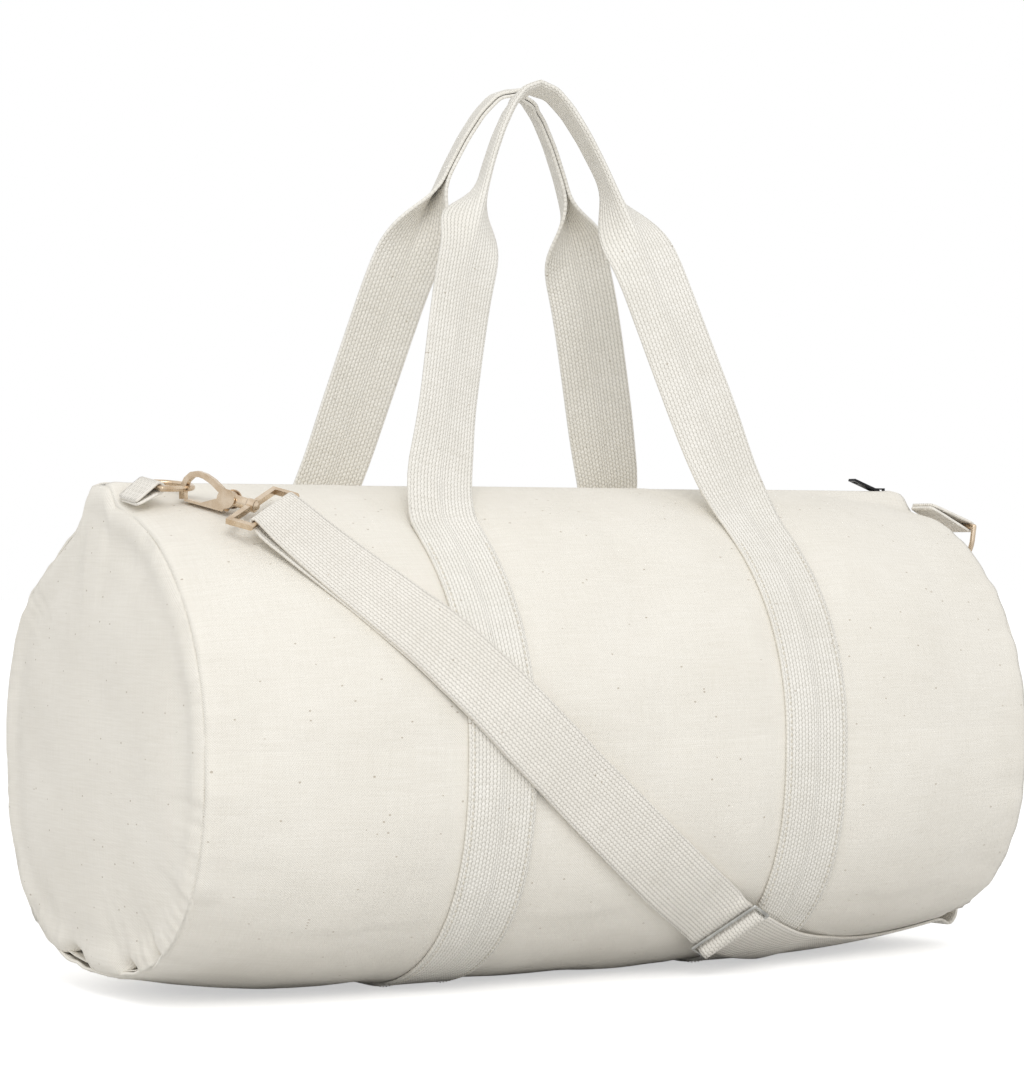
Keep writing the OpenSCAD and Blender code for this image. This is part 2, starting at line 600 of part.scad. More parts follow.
// Strap route on the developed side: along the bag, then up round it from the widest line
tab_turn = -acos(pow(tab_y / seam_r, lower_power / 2));
route_end = [body_half - fit_gap, lookup(tab_turn, turn_table)];
route_bar = [left_bar_o.x, body_r * PI / 180 * atan2(left_bar_o.z - axis_z, -left_bar_o.y)];
route_mid = [-bend_along, bend_above];
route_glide = [glide_along, -glide_below];
route_turn = [mix(glide_along, body_half, 0.57), route_end.y];
near_route = [route_bar, route_mid, route_glide];
free_route = [route_glide, route_turn, route_end];
bar_lift = norm([left_bar_o.y, left_bar_o.z - axis_z]) - half_at(left_bar_o.x);
first_reach = norm(route_mid - route_bar);
last_reach = norm(route_glide - route_mid);
free_reach = norm(route_turn - route_glide);
function lead(t) = pow(max(0, 1 - t * (first_reach + last_reach) / lead_l), 2);

// Height over a handle band and up to the slider, eased off around both
glide_rise = band_t + fit_gap;
function lift(p) = glide_rise * (1 - min(ease((abs(abs(p.x - band_shift) - band_x) - band_w / 2 - strap_t) / ramp_l),
    ease((norm(p - route_glide) - weave_half) / ramp_l)));

// Strap ring on the body: off is the height of the strap's lower face
function wrap_ring(path, t, off) = let (
    c = bezier(path, t), d = unit(bezier(path, min(1, t + 0.01)) - bezier(path, max(0, t - 0.01))),
    n = quarter_turn(d), spots = [for (j = [0:across]) c + n * strap_w * (j / across - 1 / 2)],
    up = max([for (p = spots) lift(p)]))
    concat([for (p = spots) wrap(p.x, p.y, off + mix(lift(p), up, 1 / 2))],
        [for (j = [across:-1:0]) wrap(spots[j].x, spots[j].y, off + strap_t + mix(lift(spots[j]), up, 1 / 2))]);

// Strap ring in a flat frame: p is along and up, turn is the strap's own angle there
function flat_ring(o, f, p, turn) = let (n = [-sin(turn), cos(turn)])
    concat([for (j = [0:across]) let (q = p - n * strap_t / 2) in_frame(o, f, [q.x, strap_w * (j / across - 1 / 2), q.y])],
        [for (j = [across:-1:0]) let (q = p + n * strap_t / 2)
            in_frame(o, f, [q.x, strap_w * (j / across - 1 / 2), q.y])]);
function path_turn(path, i) = let (d = path[min(len(path) - 1, i + 1)] - path[max(0, i - 1)]) atan2(d.y, d.x);

// Flat frame of the strap slider on the bag's side
glide_step = unit(unit(route_glide - route_mid) + unit(route_turn - route_glide));
glide_o = wrap(route_glide.x, route_glide.y, 0);
glide_ahead = route_glide + glide_step * glide_bar_r;
glide_across = route_glide + quarter_turn(glide_step) * glide_bar_r;
glide_x = unit(wrap(glide_ahead.x, glide_ahead.y, 0) - glide_o);
glide_y = square_to(wrap(glide_across.x, glide_across.y, 0) - glide_o, glide_x);
glide_frame = [glide_x, glide_y, cross(glide_x, glide_y)];
glide_bar_z = glide_rise + upper_off + strap_t + fit_gap + glide_bar_r;
sewn_bar_r = glide_bar_r + fit_gap + strap_t / 2;
over_bar_r = sewn_bar_r + strap_t + 2 * fit_gap;
near_start = (strap_t + fit_gap) / first_reach;
near_end = 1 - (weave_half + fit_gap) / (2 * last_reach);
function near_t(i) = mix(near_start, near_end, i / strap_steps);

module strap_upper_layer() {
    f = [-left_loop[0], -left_loop[1], left_loop[2]];
    bight = [for (a = [-90:15:90]) flat_ring(left_bar_o, f, bight_r * [-cos(a), sin(a)], 90 - a)];
    run = [for (i = [1:strap_steps]) let (t = near_t(i))
        wrap_ring(near_route, t, upper_off + (bar_lift + bight_r - strap_t / 2 - upper_off) * lead(t))];
    color(webbing_colour) skin(concat(bight, run));
}

module strap_lower_layer() {
    low = glide_rise + lower_off + strap_t / 2;
    sewn = concat([[-weave_half + fit_gap, low], [-sewn_bar_r - strap_t / 2, low]],
        arc([0, glide_bar_z], sewn_bar_r, 165, -60, 12));
    run = [for (i = [0:strap_steps]) let (t = near_t(i))
        wrap_ring(near_route, t, lower_off + (bar_lift - bight_r - strap_t / 2 - lower_off) * lead(t))];
    wrapped = [for (i = [0:len(sewn) - 1]) flat_ring(glide_o, glide_frame, sewn[i], path_turn(sewn, i))];
    color(webbing_colour) skin(concat(run, wrapped));
}

// Length of strap that passes the slider: under the first bar, over the middle one, under the last
module strap_weave() {
    low = glide_rise + upper_off + strap_t / 2;
    path = concat([[-weave_half + fit_gap, low], [-glide_pitch, low]], arc([0, glide_bar_z], over_bar_r, 200, -20, 12),
        [[glide_pitch, low], [weave_half - fit_gap, low]]);
    color(webbing_colour)
        skin([for (i = [0:len(path) - 1]) flat_ring(glide_o, glide_frame, path[i], path_turn(path, i))]);
}

module strap_free_run() {
    from = (weave_half + strap_t + 4 * fit_gap) / (2 * free_reach);
    color(webbing_colour) skin([for (i = [0:free_steps]) let (t = mix(from, 1, i / free_steps))
        wrap_ring(free_route, t, mix(upper_off, lower_off, ease(3 * t)))]);
}

// Strap end that turns up the right end and folds over the right loop's bar
module strap_end_run() {
    x = body_half + end_dome + canvas_t / 2 + fit_gap + strap_t / 2;
    low = axis_z - deep_at(body_half) - fit_gap - strap_t / 2;
    bend = x - body_half;
    top = mix(low, right_bar_o.z, 1 - bend_share);
    sewn = strap_t + fit_gap;
    path = concat([[body_half, low]], arc([body_half, low + bend], bend, -75, 0, 5), [[x, top]],
        arc([right_bar_o.x, right_bar_o.z], bight_r, 180, 0, 12), [[x + sewn, top], [x + sewn, top - sewn_l / 3]]);
    color(webbing_colour) translate([0, -tab_y, 0]) slab(strip(path, strap_t), strap_w);
}

// Three-bar slider for the strap's length
module strap_slider() color(steel_colour) placed(in_frame(glide_o, glide_frame, [0, 0, glide_bar_z]), glide_frame) {
    half = strap_w / 2 + 2 * fit_gap + glide_bar_r;
    for (s = [-1, 0, 1]) translate([s * glide_pitch, 0, 0]) cross_bar(glide_bar_r, 2 * half);
    for (s = [-1, 1]) translate([-glide_pitch, s * half, 0]) {
        long_bar(glide_bar_r, 2 * glide_pitch);
        sphere(r = glide_bar_r);
        translate([2 * glide_pitch, 0, 0]) sphere(r = glide_bar_r);
    }
}

main_panel();
left_end_panel();
right_end_panel();
left_seam_binding();
right_seam_binding();
zip_tape_front();
zip_tape_rear();
zip_teeth_front();
zip_teeth_rear();
zip_top_stop();
zip_bottom_stop();
zip_slider();
zip_pull();
left_belly_band();
right_belly_band();
front_handle();
rear_handle();
left_tab();
right_tab();
left_ring();
right_ring();
left_hook();
right_hook();
left_gate();
right_gate();
left_gate_rivet();
right_gate_rivet();
left_gate_spring();
right_gate_spring();
left_swivel_rivet();
right_swivel_rivet();
left_strap_loop();
right_strap_loop();
strap_upper_layer();
strap_lower_layer();
strap_weave();
strap_free_run();
strap_end_run();
strap_slider();
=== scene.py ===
"""Dresses the barrel bag: natural canvas, cotton webbing, a black zip and pale brass hardware.

Lengths are in millimetres until finish_mesh turns a mesh to metres. x runs along the bag to its
right end, y to its rear and z up. Angles round the bag are in degrees from its widest line at the
front, and grow towards its top.
"""

import logging
import math
from dataclasses import dataclass, field
from enum import Enum
from typing import Callable, Sequence, TypeVar

import bmesh
import bpy
from mathutils import Matrix, Vector, noise

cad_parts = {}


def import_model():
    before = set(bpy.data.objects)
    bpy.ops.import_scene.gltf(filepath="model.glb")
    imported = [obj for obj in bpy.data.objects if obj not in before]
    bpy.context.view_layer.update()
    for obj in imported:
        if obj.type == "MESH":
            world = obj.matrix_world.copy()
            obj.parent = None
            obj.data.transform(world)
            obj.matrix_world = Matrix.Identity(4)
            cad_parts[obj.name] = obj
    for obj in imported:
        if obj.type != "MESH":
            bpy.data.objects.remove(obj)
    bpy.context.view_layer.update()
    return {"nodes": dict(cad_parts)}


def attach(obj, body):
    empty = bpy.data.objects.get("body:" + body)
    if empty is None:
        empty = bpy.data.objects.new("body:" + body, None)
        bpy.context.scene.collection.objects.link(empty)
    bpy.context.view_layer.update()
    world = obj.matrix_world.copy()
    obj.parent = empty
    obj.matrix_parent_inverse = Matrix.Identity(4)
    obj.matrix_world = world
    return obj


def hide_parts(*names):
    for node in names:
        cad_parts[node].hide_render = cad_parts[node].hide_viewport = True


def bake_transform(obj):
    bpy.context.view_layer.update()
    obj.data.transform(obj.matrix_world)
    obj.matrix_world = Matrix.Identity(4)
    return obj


log = logging.getLogger("barrel_bag")
MM = 0.001
MATH = "ShaderNodeMath"
RGBA = {"data_type": "RGBA"}

Mats = dict[str, bpy.types.Material]
Place = Callable[[float, float], Vector]
Row = list[Vector]
Stitch = tuple[Vector, Vector, Vector]
ByLeg = tuple[tuple[float, float], tuple[float, float]]
Mixed = TypeVar("Mixed", float, Vector)


def linear(code: str) -> tuple[float, float, float, float]:
    """Turns an sRGB hex colour into the linear colour that a shader takes.

    Args:
        code: six hex digits.

    Returns:
        Red, green, blue and alpha.
    """
    parts = [int(code[i : i + 2], 16) / 255 for i in (0, 2, 4)]
    bent = [p / 12.92 if p <= 0.04045 else ((p + 0.055) / 1.055) ** 2.4 for p in parts]
    return (bent[0], bent[1], bent[2], 1.0)


def mix(a: Mixed, b: Mixed, t: float) -> Mixed:
    """Goes from a to b by the share t."""
    return a + (b - a) * t


def ease(t: float) -> float:
    """Smooth step from 0 to 1."""
    u = min(1.0, max(0.0, t))
    return u * u * (3 - 2 * u)


def bell(d: float, width: float) -> float:
    """Bell curve of the distance d, 1 at 0."""
    return math.exp(-((d / width) ** 2))


def spoke(radius: float, angle: float) -> tuple[float, float]:
    """Point on a circle round the origin at an angle in degrees."""
    return radius * math.cos(math.radians(angle)), radius * math.sin(math.radians(angle))


def read_table(rows: Sequence[tuple[float, float]], at: float) -> float:
    """Reads a table straight between its rows, and holds its ends.

    Args:
        rows: pairs of a place and its value, with rising places.
        at: the place to read.

    Returns:
        The value there.
    """
    if at <= rows[0][0]:
        return rows[0][1]
    for (place_0, value_0), (place_1, value_1) in zip(rows, rows[1:]):
        if at <= place_1:
            return mix(value_0, value_1, (at - place_0) / (place_1 - place_0))
    return rows[-1][1]


def running_length(points: Row) -> list[float]:
    """Adds up the length along a line of points.

    Args:
        points: the line.

    Returns:
        The length from the first point to each.
    """
    lengths = [0.0]
    for a, b in zip(points, points[1:]):
        lengths.append(lengths[-1] + (b - a).length)
    return lengths


def repeats(*sizes: float) -> tuple[float, ...]:
    """How often forms of these sizes in millimetres fit into a metre."""
    return tuple(1 / (size * MM) for size in sizes)


def add(
    tree: bpy.types.NodeTree, kind: str, settings: dict | None = None, *values, **inputs
) -> bpy.types.Node:
    """Adds a shader node with its settings and links.

    Args:
        tree: the tree that gets the node.
        kind: the node's type name.
        settings: attributes of the node.
        values: numbers, sockets or nodes for its first inputs. A node gives its first output.
        inputs: the same by input name, with _ for a space, or by _ and an index.

    Returns:
        The new node.
    """
    made = tree.nodes.new(kind)
    for key, value in (settings or {}).items():
        setattr(made, key, value)
    given = {f"_{i}": value for i, value in enumerate(values)} | inputs
    for key, value in given.items():
        socket = made.inputs[int(key[1:])] if key[0] == "_" else made.inputs[key.replace("_", " ")]
        if isinstance(value, bpy.types.Node):
            value = value.outputs[0]
        if isinstance(value, bpy.types.NodeSocket):
            tree.links.new(value, socket)
        else:
            socket.default_value = value
    return made


def new_material(name: str) -> tuple[bpy.types.Material, bpy.types.NodeTree]:
    """Starts a material.

    Args:
        name: its name.

    Returns:
        The material and its empty node tree.
    """
    mat = bpy.data.materials.new(name)
    mat.use_nodes = True
    mat.node_tree.nodes.clear()
    return mat, mat.node_tree


class Weave(Enum):
    """How a cloth's threads cross."""

    PLAIN = "plain"
    TWILL = "twill"
    DASHES = "dashes"


@dataclass(frozen=True)
class Cloth:
    """Woven cloth: raised threads with painted shade in the hollows between them, thick and thin
    yarns and, in raw cotton, flecks of seed.

    The pattern lies on the piece's UV map, which is in metres of cloth. Sizes are in millimetres.
    """

    name: str
    colour: str
    # Colour of the mottled places, and of the painted shade in the weave's hollows where no gap
    # colour is given
    dark: str
    weave: Weave
    # From one thread, rib or float to the next of its row, and how far they stand proud
    pitch: float
    relief: float
    rough: float = 0.9
    # Share of the seed cells that hold a fleck, the cells' size, and a fleck's radius as a share
    # of a cell and how much of its colour shows
    fleck: float = 0.0
    seed_cell: tuple[float, float] = (3.030303, 1.923077)
    seed_radius: float = 0.24
    seed_share: float = 0.45
    seed_colour: str = "8A7454"
    # Painted shade in the hollows between the threads, where it isn't the mottled colour
    gap: str = ""
    # A float's width as a share of its pitch
    float_share: float = 0.8
    # A thick place in a weft yarn, one in a warp yarn, and a cloudy place, and what each adds
    slub_size: tuple[float, float] = (22.22222, 1.111111)
    end_size: tuple[float, float] = (0.9090909, 16.66667)
    cloud_size: float = 62.5
    slub_share: float = 0.5
    end_share: float = 0.3
    cloud_share: float = 0.4

    def height(
        self, tree: bpy.types.NodeTree, u: bpy.types.NodeSocket, v: bpy.types.NodeSocket
    ) -> bpy.types.Node:
        """Makes the threads' height.

        Args:
            tree: the material's tree.
            u: the place across the cloth in metres.
            v: the place along it.

        Returns:
            The node that gives the height, from about -1 to 1.
        """
        k = 2 * math.pi / (self.pitch * MM)
        if self.weave is Weave.PLAIN:
            across = add(tree, MATH, {"operation": "MULTIPLY"}, u, k)
            along = add(tree, MATH, {"operation": "MULTIPLY"}, v, k)
            warp = add(tree, MATH, {"operation": "SINE"}, across)
            weft = add(tree, MATH, {"operation": "SINE"}, along)
            return add(tree, MATH, {"operation": "MULTIPLY"}, warp, weft)
        if self.weave is Weave.DASHES:
            # Columns start in mid float at the selvedge, so that no gap lies on it
            wide = add(tree, MATH, {"operation": "DIVIDE"}, u, self.float_share * self.pitch * MM)
            column = add(tree, MATH, {"operation": "ADD"}, wide, 0.5)
            inside = add(tree, MATH, {"operation": "FRACT"}, column)
            half_turn = add(tree, MATH, {"operation": "MULTIPLY"}, inside, math.pi)
            arch = add(tree, MATH, {"operation": "SINE"}, half_turn)
            # Each column is half a float on from the one beside it
            count = add(tree, MATH, {"operation": "FLOOR"}, column)
            step = add(tree, MATH, {"operation": "MULTIPLY"}, count, math.pi)
            run = add(tree, MATH, {"operation": "MULTIPLY"}, v, k)
            stepped = add(tree, MATH, {"operation": "ADD"}, run, step)
            along = add(tree, MATH, {"operation": "SINE"}, stepped)
            swell = add(tree, MATH, {"operation": "MULTIPLY"}, along, 0.6)
            both = add(tree, MATH, {"operation": "ADD"}, arch, swell)
            return add(tree, MATH, {"operation": "SUBTRACT"}, both, 0.6)
        slant = add(tree, MATH, {"operation": "ADD"}, u, v)
        ribs = add(tree, MATH, {"operation": "SINE"},
                   add(tree, MATH, {"operation": "MULTIPLY"}, slant, k))
        cords = add(tree, MATH, {"operation": "SINE"},
                    add(tree, MATH, {"operation": "MULTIPLY"}, u, k * 1.3))
        low = add(tree, MATH, {"operation": "MULTIPLY"}, cords, 0.5)
        return add(tree, MATH, {"operation": "ADD"}, ribs, low)

    def flecked(
        self, tree: bpy.types.NodeTree, uv: bpy.types.NodeSocket, plain: bpy.types.NodeSocket
    ) -> bpy.types.NodeSocket:
        """Scatters flecks of seed over a colour.

        Args:
            tree: the material's tree.
            uv: the place on the cloth.
            plain: the colour without flecks.

        Returns:
            The colour with them.
        """
        grid = add(tree, "ShaderNodeMapping", Vector=uv, Scale=(*repeats(*self.seed_cell), 1.0))
        cells = add(tree, "ShaderNodeTexVoronoi", Vector=grid, Scale=1.0)
        chance = add(tree, "ShaderNodeSeparateXYZ", None, cells.outputs["Color"])
        chosen = add(tree, MATH, {"operation": "GREATER_THAN"}, chance, 1 - self.fleck)
        close = add(tree, MATH, {"operation": "LESS_THAN"}, cells.outputs["Distance"],
                    self.seed_radius)
        seed = add(tree, MATH, {"operation": "MULTIPLY"}, chosen, close)
        faint = add(tree, MATH, {"operation": "MULTIPLY"}, seed, self.seed_share)
        return add(tree, "ShaderNodeMix", RGBA, faint, _6=plain,
                   _7=linear(self.seed_colour)).outputs[2]

    def build(self) -> bpy.types.Material:
        """Makes the material.

        Returns:
            The material, named for the cloth.
        """
        mat, tree = new_material(self.name)
        uv = add(tree, "ShaderNodeTexCoord").outputs["UV"]
        split = add(tree, "ShaderNodeSeparateXYZ", None, uv)
        threads = self.height(tree, split.outputs[0], split.outputs[1])

        weft = add(tree, "ShaderNodeMapping", Vector=uv, Scale=(*repeats(*self.slub_size), 1.0))
        slubs = add(tree, "ShaderNodeTexNoise", Vector=weft, Scale=1.0, Detail=3.0, Roughness=0.6)
        warp = add(tree, "ShaderNodeMapping", Vector=uv, Scale=(*repeats(*self.end_size), 1.0))
        ends = add(tree, "ShaderNodeTexNoise", Vector=warp, Scale=1.0, Detail=2.0)
        cloudy = add(tree, "ShaderNodeTexNoise", Vector=uv, Scale=repeats(self.cloud_size)[0],
                     Detail=4.0)
        clouds = add(tree, MATH, {"operation": "MULTIPLY"}, cloudy, self.cloud_share)
        uneven = add(tree, MATH, {"operation": "MULTIPLY_ADD"}, ends, self.end_share, clouds)
        mottle = add(tree, MATH, {"operation": "MULTIPLY_ADD"}, slubs, self.slub_share, uneven)
        shade = add(tree, "ShaderNodeMapRange", Value=mottle, From_Min=0.42, From_Max=0.8)
        tone = add(tree, "ShaderNodeMix", RGBA, shade, _6=linear(self.colour),
                   _7=linear(self.dark)).outputs[2]
        # Painted shade: the weave's low places darken to the gap colour, or else to the mottled one
        painted_hollow_shade = add(tree, "ShaderNodeMapRange", Value=threads, From_Min=-0.3, From_Max=-0.9,
                     To_Max=0.8)
        tone = add(tree, "ShaderNodeMix", RGBA, painted_hollow_shade, _6=tone,
                   _7=linear(self.gap or self.dark)).outputs[2]
        if self.fleck:
            tone = self.flecked(tree, uv, tone)

        yarns = add(tree, MATH, {"operation": "ADD"}, slubs, ends)
        relief = add(tree, MATH, {"operation": "ADD"}, threads, yarns)
        bump = add(tree, "ShaderNodeBump", Height=relief, Strength=0.6, Distance=self.relief * MM)
        shader = add(tree, "ShaderNodeBsdfPrincipled", Base_Color=tone, Roughness=self.rough,
                     Normal=bump, Specular_IOR_Level=0.15, Sheen_Weight=0.06, Sheen_Roughness=0.5)
        add(tree, "ShaderNodeOutputMaterial", Surface=shader)
        return mat


@dataclass(frozen=True)
class Metal:
    """Polished or lacquered metal, or smooth nylon, with fine handling scratches."""

    name: str
    colour: str
    # Colour of the hazy places
    dark: str
    rough: float
    metallic: float = 1.0
    # A hazy place, and a scratch's width and length, in millimetres
    haze_size: float = 7.142857
    scratch_w: float = 1.111111
    scratch_l: float = 9.259259

    def build(self) -> bpy.types.Material:
        """Makes the material.

        Returns:
            The material, named for the metal.
        """
        mat, tree = new_material(self.name)
        place = add(tree, "ShaderNodeTexCoord").outputs["Object"]
        hazy = add(tree, "ShaderNodeTexNoise", Vector=place, Scale=repeats(self.haze_size)[0],
                   Detail=4.0)
        drawn = add(tree, "ShaderNodeMapping", Vector=place,
                    Scale=repeats(self.scratch_w, self.scratch_l, self.scratch_w))
        lines = add(tree, "ShaderNodeTexNoise", Vector=drawn, Scale=1.0, Detail=3.0)
        haze = add(tree, "ShaderNodeMapRange", Value=hazy, From_Min=0.35, From_Max=0.7)
        tone = add(tree, "ShaderNodeMix", RGBA, haze, _6=linear(self.colour),
                   _7=linear(self.dark)).outputs[2]
        polish = add(tree, "ShaderNodeMapRange", Value=lines, From_Min=0.3, From_Max=0.7,
                     To_Min=self.rough * 0.8, To_Max=self.rough * 1.35)
        bump = add(tree, "ShaderNodeBump", Height=lines, Strength=0.12, Distance=0.05 * MM)
        shader = add(tree, "ShaderNodeBsdfPrincipled", Base_Color=tone, Roughness=polish,
                     Metallic=self.metallic, Normal=bump)
        add(tree, "ShaderNodeOutputMaterial", Surface=shader)
        return mat


# Unbleached cotton canvas in plain weave: warm white and matte, with seed flecks. The photo is too
# coarse to measure its threads; two are drawn to 1.3 mm, which is as fine as the render can show.
# Its darker colour is both its mottle and the painted shade in the weave's hollows
CANVAS = Cloth("natural_canvas", "F5F1E8", "E9E4D9", Weave.PLAIN, 1.3, 0.16, fleck=0.022)
# Cotton webbing woven in long floats: columns of raised dashes with painted shade in the gaps
# between them
WEBBING = Cloth("float_webbing", "FBF8F1", "E6E2D8", Weave.DASHES, 2.5, 0.45, fleck=0.01,
                gap="A39D90")
# The strap's webbing, of the same floats, a little less white than that of the handles, with the
# same painted shade between its floats
STRAP_WEBBING = Cloth("strap_webbing", "F8F4EC", "E6E1D7", Weave.DASHES, 2.5, 0.42, fleck=0.01,
                      gap="A09A8D")
# Cotton sewing thread, twisted: slanting ribs in the canvas's own colour, with painted shade in
# their hollows
THREAD = Cloth("sewing_thread", "EFEADF", "CFC8B8", Weave.TWILL, 0.9, 0.1)
# Polyester zip tape in twill, dyed black: a dull black with slanting ribs and painted shade in
# their hollows
ZIP_TAPE = Cloth("zip_tape", "17171A", "0B0B0D", Weave.TWILL, 1.2, 0.15, rough=0.8)
# Moulded nylon coil, dyed black: smooth, with soft highlights
ZIP_COIL = Metal("nylon_coil", "1A1A1D", "0C0C0E", 0.35, metallic=0.0)
# Die-cast zinc under black lacquer: glossy black that still looks like metal
ZIP_METAL = Metal("black_lacquer", "141416", "202023", 0.28, metallic=0.4)
# Die-cast zinc with a pale brass plating: a warm, slightly uneven polish
HOOK_METAL = Metal("champagne_plate", "DFCDB6", "C4AC8F", 0.26)
# Nickel-plated steel wire: a cool, clear polish
BUCKLE_METAL = Metal("nickel_plate", "CFCFCB", "A9A9A6", 0.22)
# Tempered spring steel: grey, with fine scratches
SPRING_METAL = Metal("spring_steel", "8E9094", "6C6E73", 0.3)


def finish_mesh(
    name: str, bm: bmesh.types.BMesh, mat: bpy.types.Material, smooth: bool = True
) -> bpy.types.Object:
    """Turns a bmesh in millimetres into a linked object in metres.

    Args:
        name: the piece's name.
        bm: its mesh, which is freed.
        mat: its material.
        smooth: whether its faces are shaded smooth.

    Returns:
        The new object.
    """
    bmesh.ops.scale(bm, vec=(MM, MM, MM), verts=bm.verts)
    mesh = bpy.data.meshes.new(name)
    for face in bm.faces:
        face.smooth = smooth
    bm.to_mesh(mesh)
    bm.free()
    mesh.materials.append(mat)
    made = bpy.data.objects.new(name, mesh)
    bpy.context.scene.collection.objects.link(made)
    log.info("%s: %d faces", name, len(mesh.polygons))
    return made


def bent_grid(
    columns: int, rows: int, place: Place, size: tuple[float, float], weld: float = 0.0
) -> bmesh.types.BMesh:
    """Bends a flat grid to the shape that a function gives, with a UV map in metres of cloth.

    Args:
        columns: segments along the first direction.
        rows: segments along the second direction.
        place: gives a point from two shares.
        size: the cloth's flat size along the two directions.
        weld: distance under which points become one, for closed forms.

    Returns:
        The grid as a bmesh in millimetres.
    """
    bm = bmesh.new()
    bmesh.ops.create_grid(bm, x_segments=columns, y_segments=rows, size=0.5)
    layer = bm.loops.layers.uv.new("cloth")
    for face in bm.faces:
        for loop in face.loops:
            co = loop.vert.co
            loop[layer].uv = ((co.x + 0.5) * size[0] * MM, (co.y + 0.5) * size[1] * MM)
    for vert in bm.verts:
        vert.co = place(vert.co.x + 0.5, vert.co.y + 0.5)
    if weld:
        bmesh.ops.remove_doubles(bm, verts=bm.verts, dist=weld)
    return bm


def ribbon(rows: list[Row], middle: Row, width: float) -> bmesh.types.BMesh:
    """Makes webbing through rows of points, with its UV map along the webbing's own length.

    Args:
        rows: the points across the webbing at each station.
        middle: its middle point at each station.
        width: its width.

    Returns:
        The webbing's middle surface as a bmesh in millimetres.
    """
    columns, count = len(rows[0]) - 1, len(rows) - 1
    lengths = running_length(middle)
    bm = bent_grid(columns, count, lambda u, w: rows[round(w * count)][round(u * columns)],
                   (width, 1.0))
    layer = bm.loops.layers.uv.active
    for face in bm.faces:
        for loop in face.loops:
            loop[layer].uv.y = lengths[round(loop[layer].uv.y / MM * count)] * MM
    return bm


def thicken(piece: bpy.types.Object, thickness: float, levels: int = 0) -> None:
    """Smooths a sheet and gives it its thickness.

    Args:
        piece: the sheet.
        thickness: its thickness in millimetres.
        levels: how many times it is subdivided.
    """
    if levels:
        smooth = piece.modifiers.new("smooth", "SUBSURF")
        smooth.levels = smooth.render_levels = levels
    wall = piece.modifiers.new("wall", "SOLIDIFY")
    wall.thickness = thickness * MM
    wall.offset = 0.0
    wall.use_even_offset = True


def along_line(points: Row, outs: Row, step: float) -> list[Stitch]:
    """Spaces stitches along a line.

    Args:
        points: the line's points.
        outs: the outward direction at each.
        step: from one stitch to the next.

    Returns:
        Middle, direction and outward direction of each stitch.
    """
    found, left = [], step / 2
    for i in range(len(points) - 1):
        d = points[i + 1] - points[i]
        reach = d.length
        while left < reach:
            found.append((points[i] + d * (left / reach), d, outs[i]))
            left += step
        left -= reach
    return found


def sew(bm: bmesh.types.BMesh, spots: list[Stitch], length: float, width: float) -> None:
    """Adds a row of stitches to a bmesh.

    Args:
        bm: the mesh that gets them.
        spots: middle, direction and outward direction of each stitch.
        length: a stitch's length.
        width: the thread's width, of which a third shows as its height.
    """
    for at, along, out in spots:
        x = along.normalized()
        y = out.cross(x).normalized()
        turn = Matrix((x, y, x.cross(y))).transposed().to_4x4()
        size = Matrix.Diagonal((length / 2, width / 2, width / 3, 1.0))
        bmesh.ops.create_icosphere(bm, subdivisions=1, radius=1.0,
                                   matrix=Matrix.Translation(at) @ turn @ size)


def ride(piece: bpy.types.Object, body: str, slot: str, *nodes: str) -> None:
    """Ties a piece to the frame.

    Args:
        piece: the piece.
        body: the CAD body that it moves with.
        slot: not used.
        nodes: the CAD nodes that it stands for.
    """
    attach(piece, body)
    if nodes:
        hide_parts(*nodes)


@dataclass(frozen=True)
class Flat:
    """A flat frame beside a piece of hardware: its origin and three unit directions."""

    origin: Vector
    along: Vector
    across: Vector
    up: Vector

    def at(self, x: float, y: float, z: float) -> Vector:
        """Point at these distances along the three directions."""
        return self.origin + self.along * x + self.across * y + self.up * z


# Where the strap passes the slider's bar and the left loop's bar, as the part's source sets them
AT_SLIDER = Flat(Vector((66, -99.8034, 30.2204)), Vector((0.823101, 0.415183, -0.387463)),
                 Vector((0.567882, -0.597245, 0.566399)),
                 Vector((0.00374861, -0.686237, -0.727368)))
AT_LEFT_LOOP = Flat(Vector((-197.158, -77.733, 251.054)), Vector((0.574776, -0.779607, -0.24869)),
                    Vector((0.803216, 0.479385, 0.353602)),
                    Vector((-0.156452, -0.402993, 0.901731)))


@dataclass(frozen=True)
class Ripple:
    """Smooth unevenness of cloth, as fixed noise."""

    # How far it goes in or out, how broad its forms are, and where in the noise it starts
    depth: float
    size: float
    seed: float
    # How much closer the forms lie along x, y and z
    closer: tuple[float, float, float] = (1.0, 1.0, 1.0)

    def at(self, p: Vector, shift: float = 0.0) -> float:
        """Height at a point, with the start shifted."""
        x, y, z = (c * k / self.size for c, k in zip(p, self.closer))
        return self.depth * noise.noise(Vector((x + self.seed + shift, y, z)))


@dataclass(frozen=True)
class Swell:
    """A rounded rise beside a seam, or a dip where its height is negative."""

    height: float
    # How far its middle is from the seam, and its half width
    away: float
    width: float

    def over(self, reach: float) -> float:
        """Height at a distance from the seam."""
        return self.height * bell(reach - self.away, self.width)


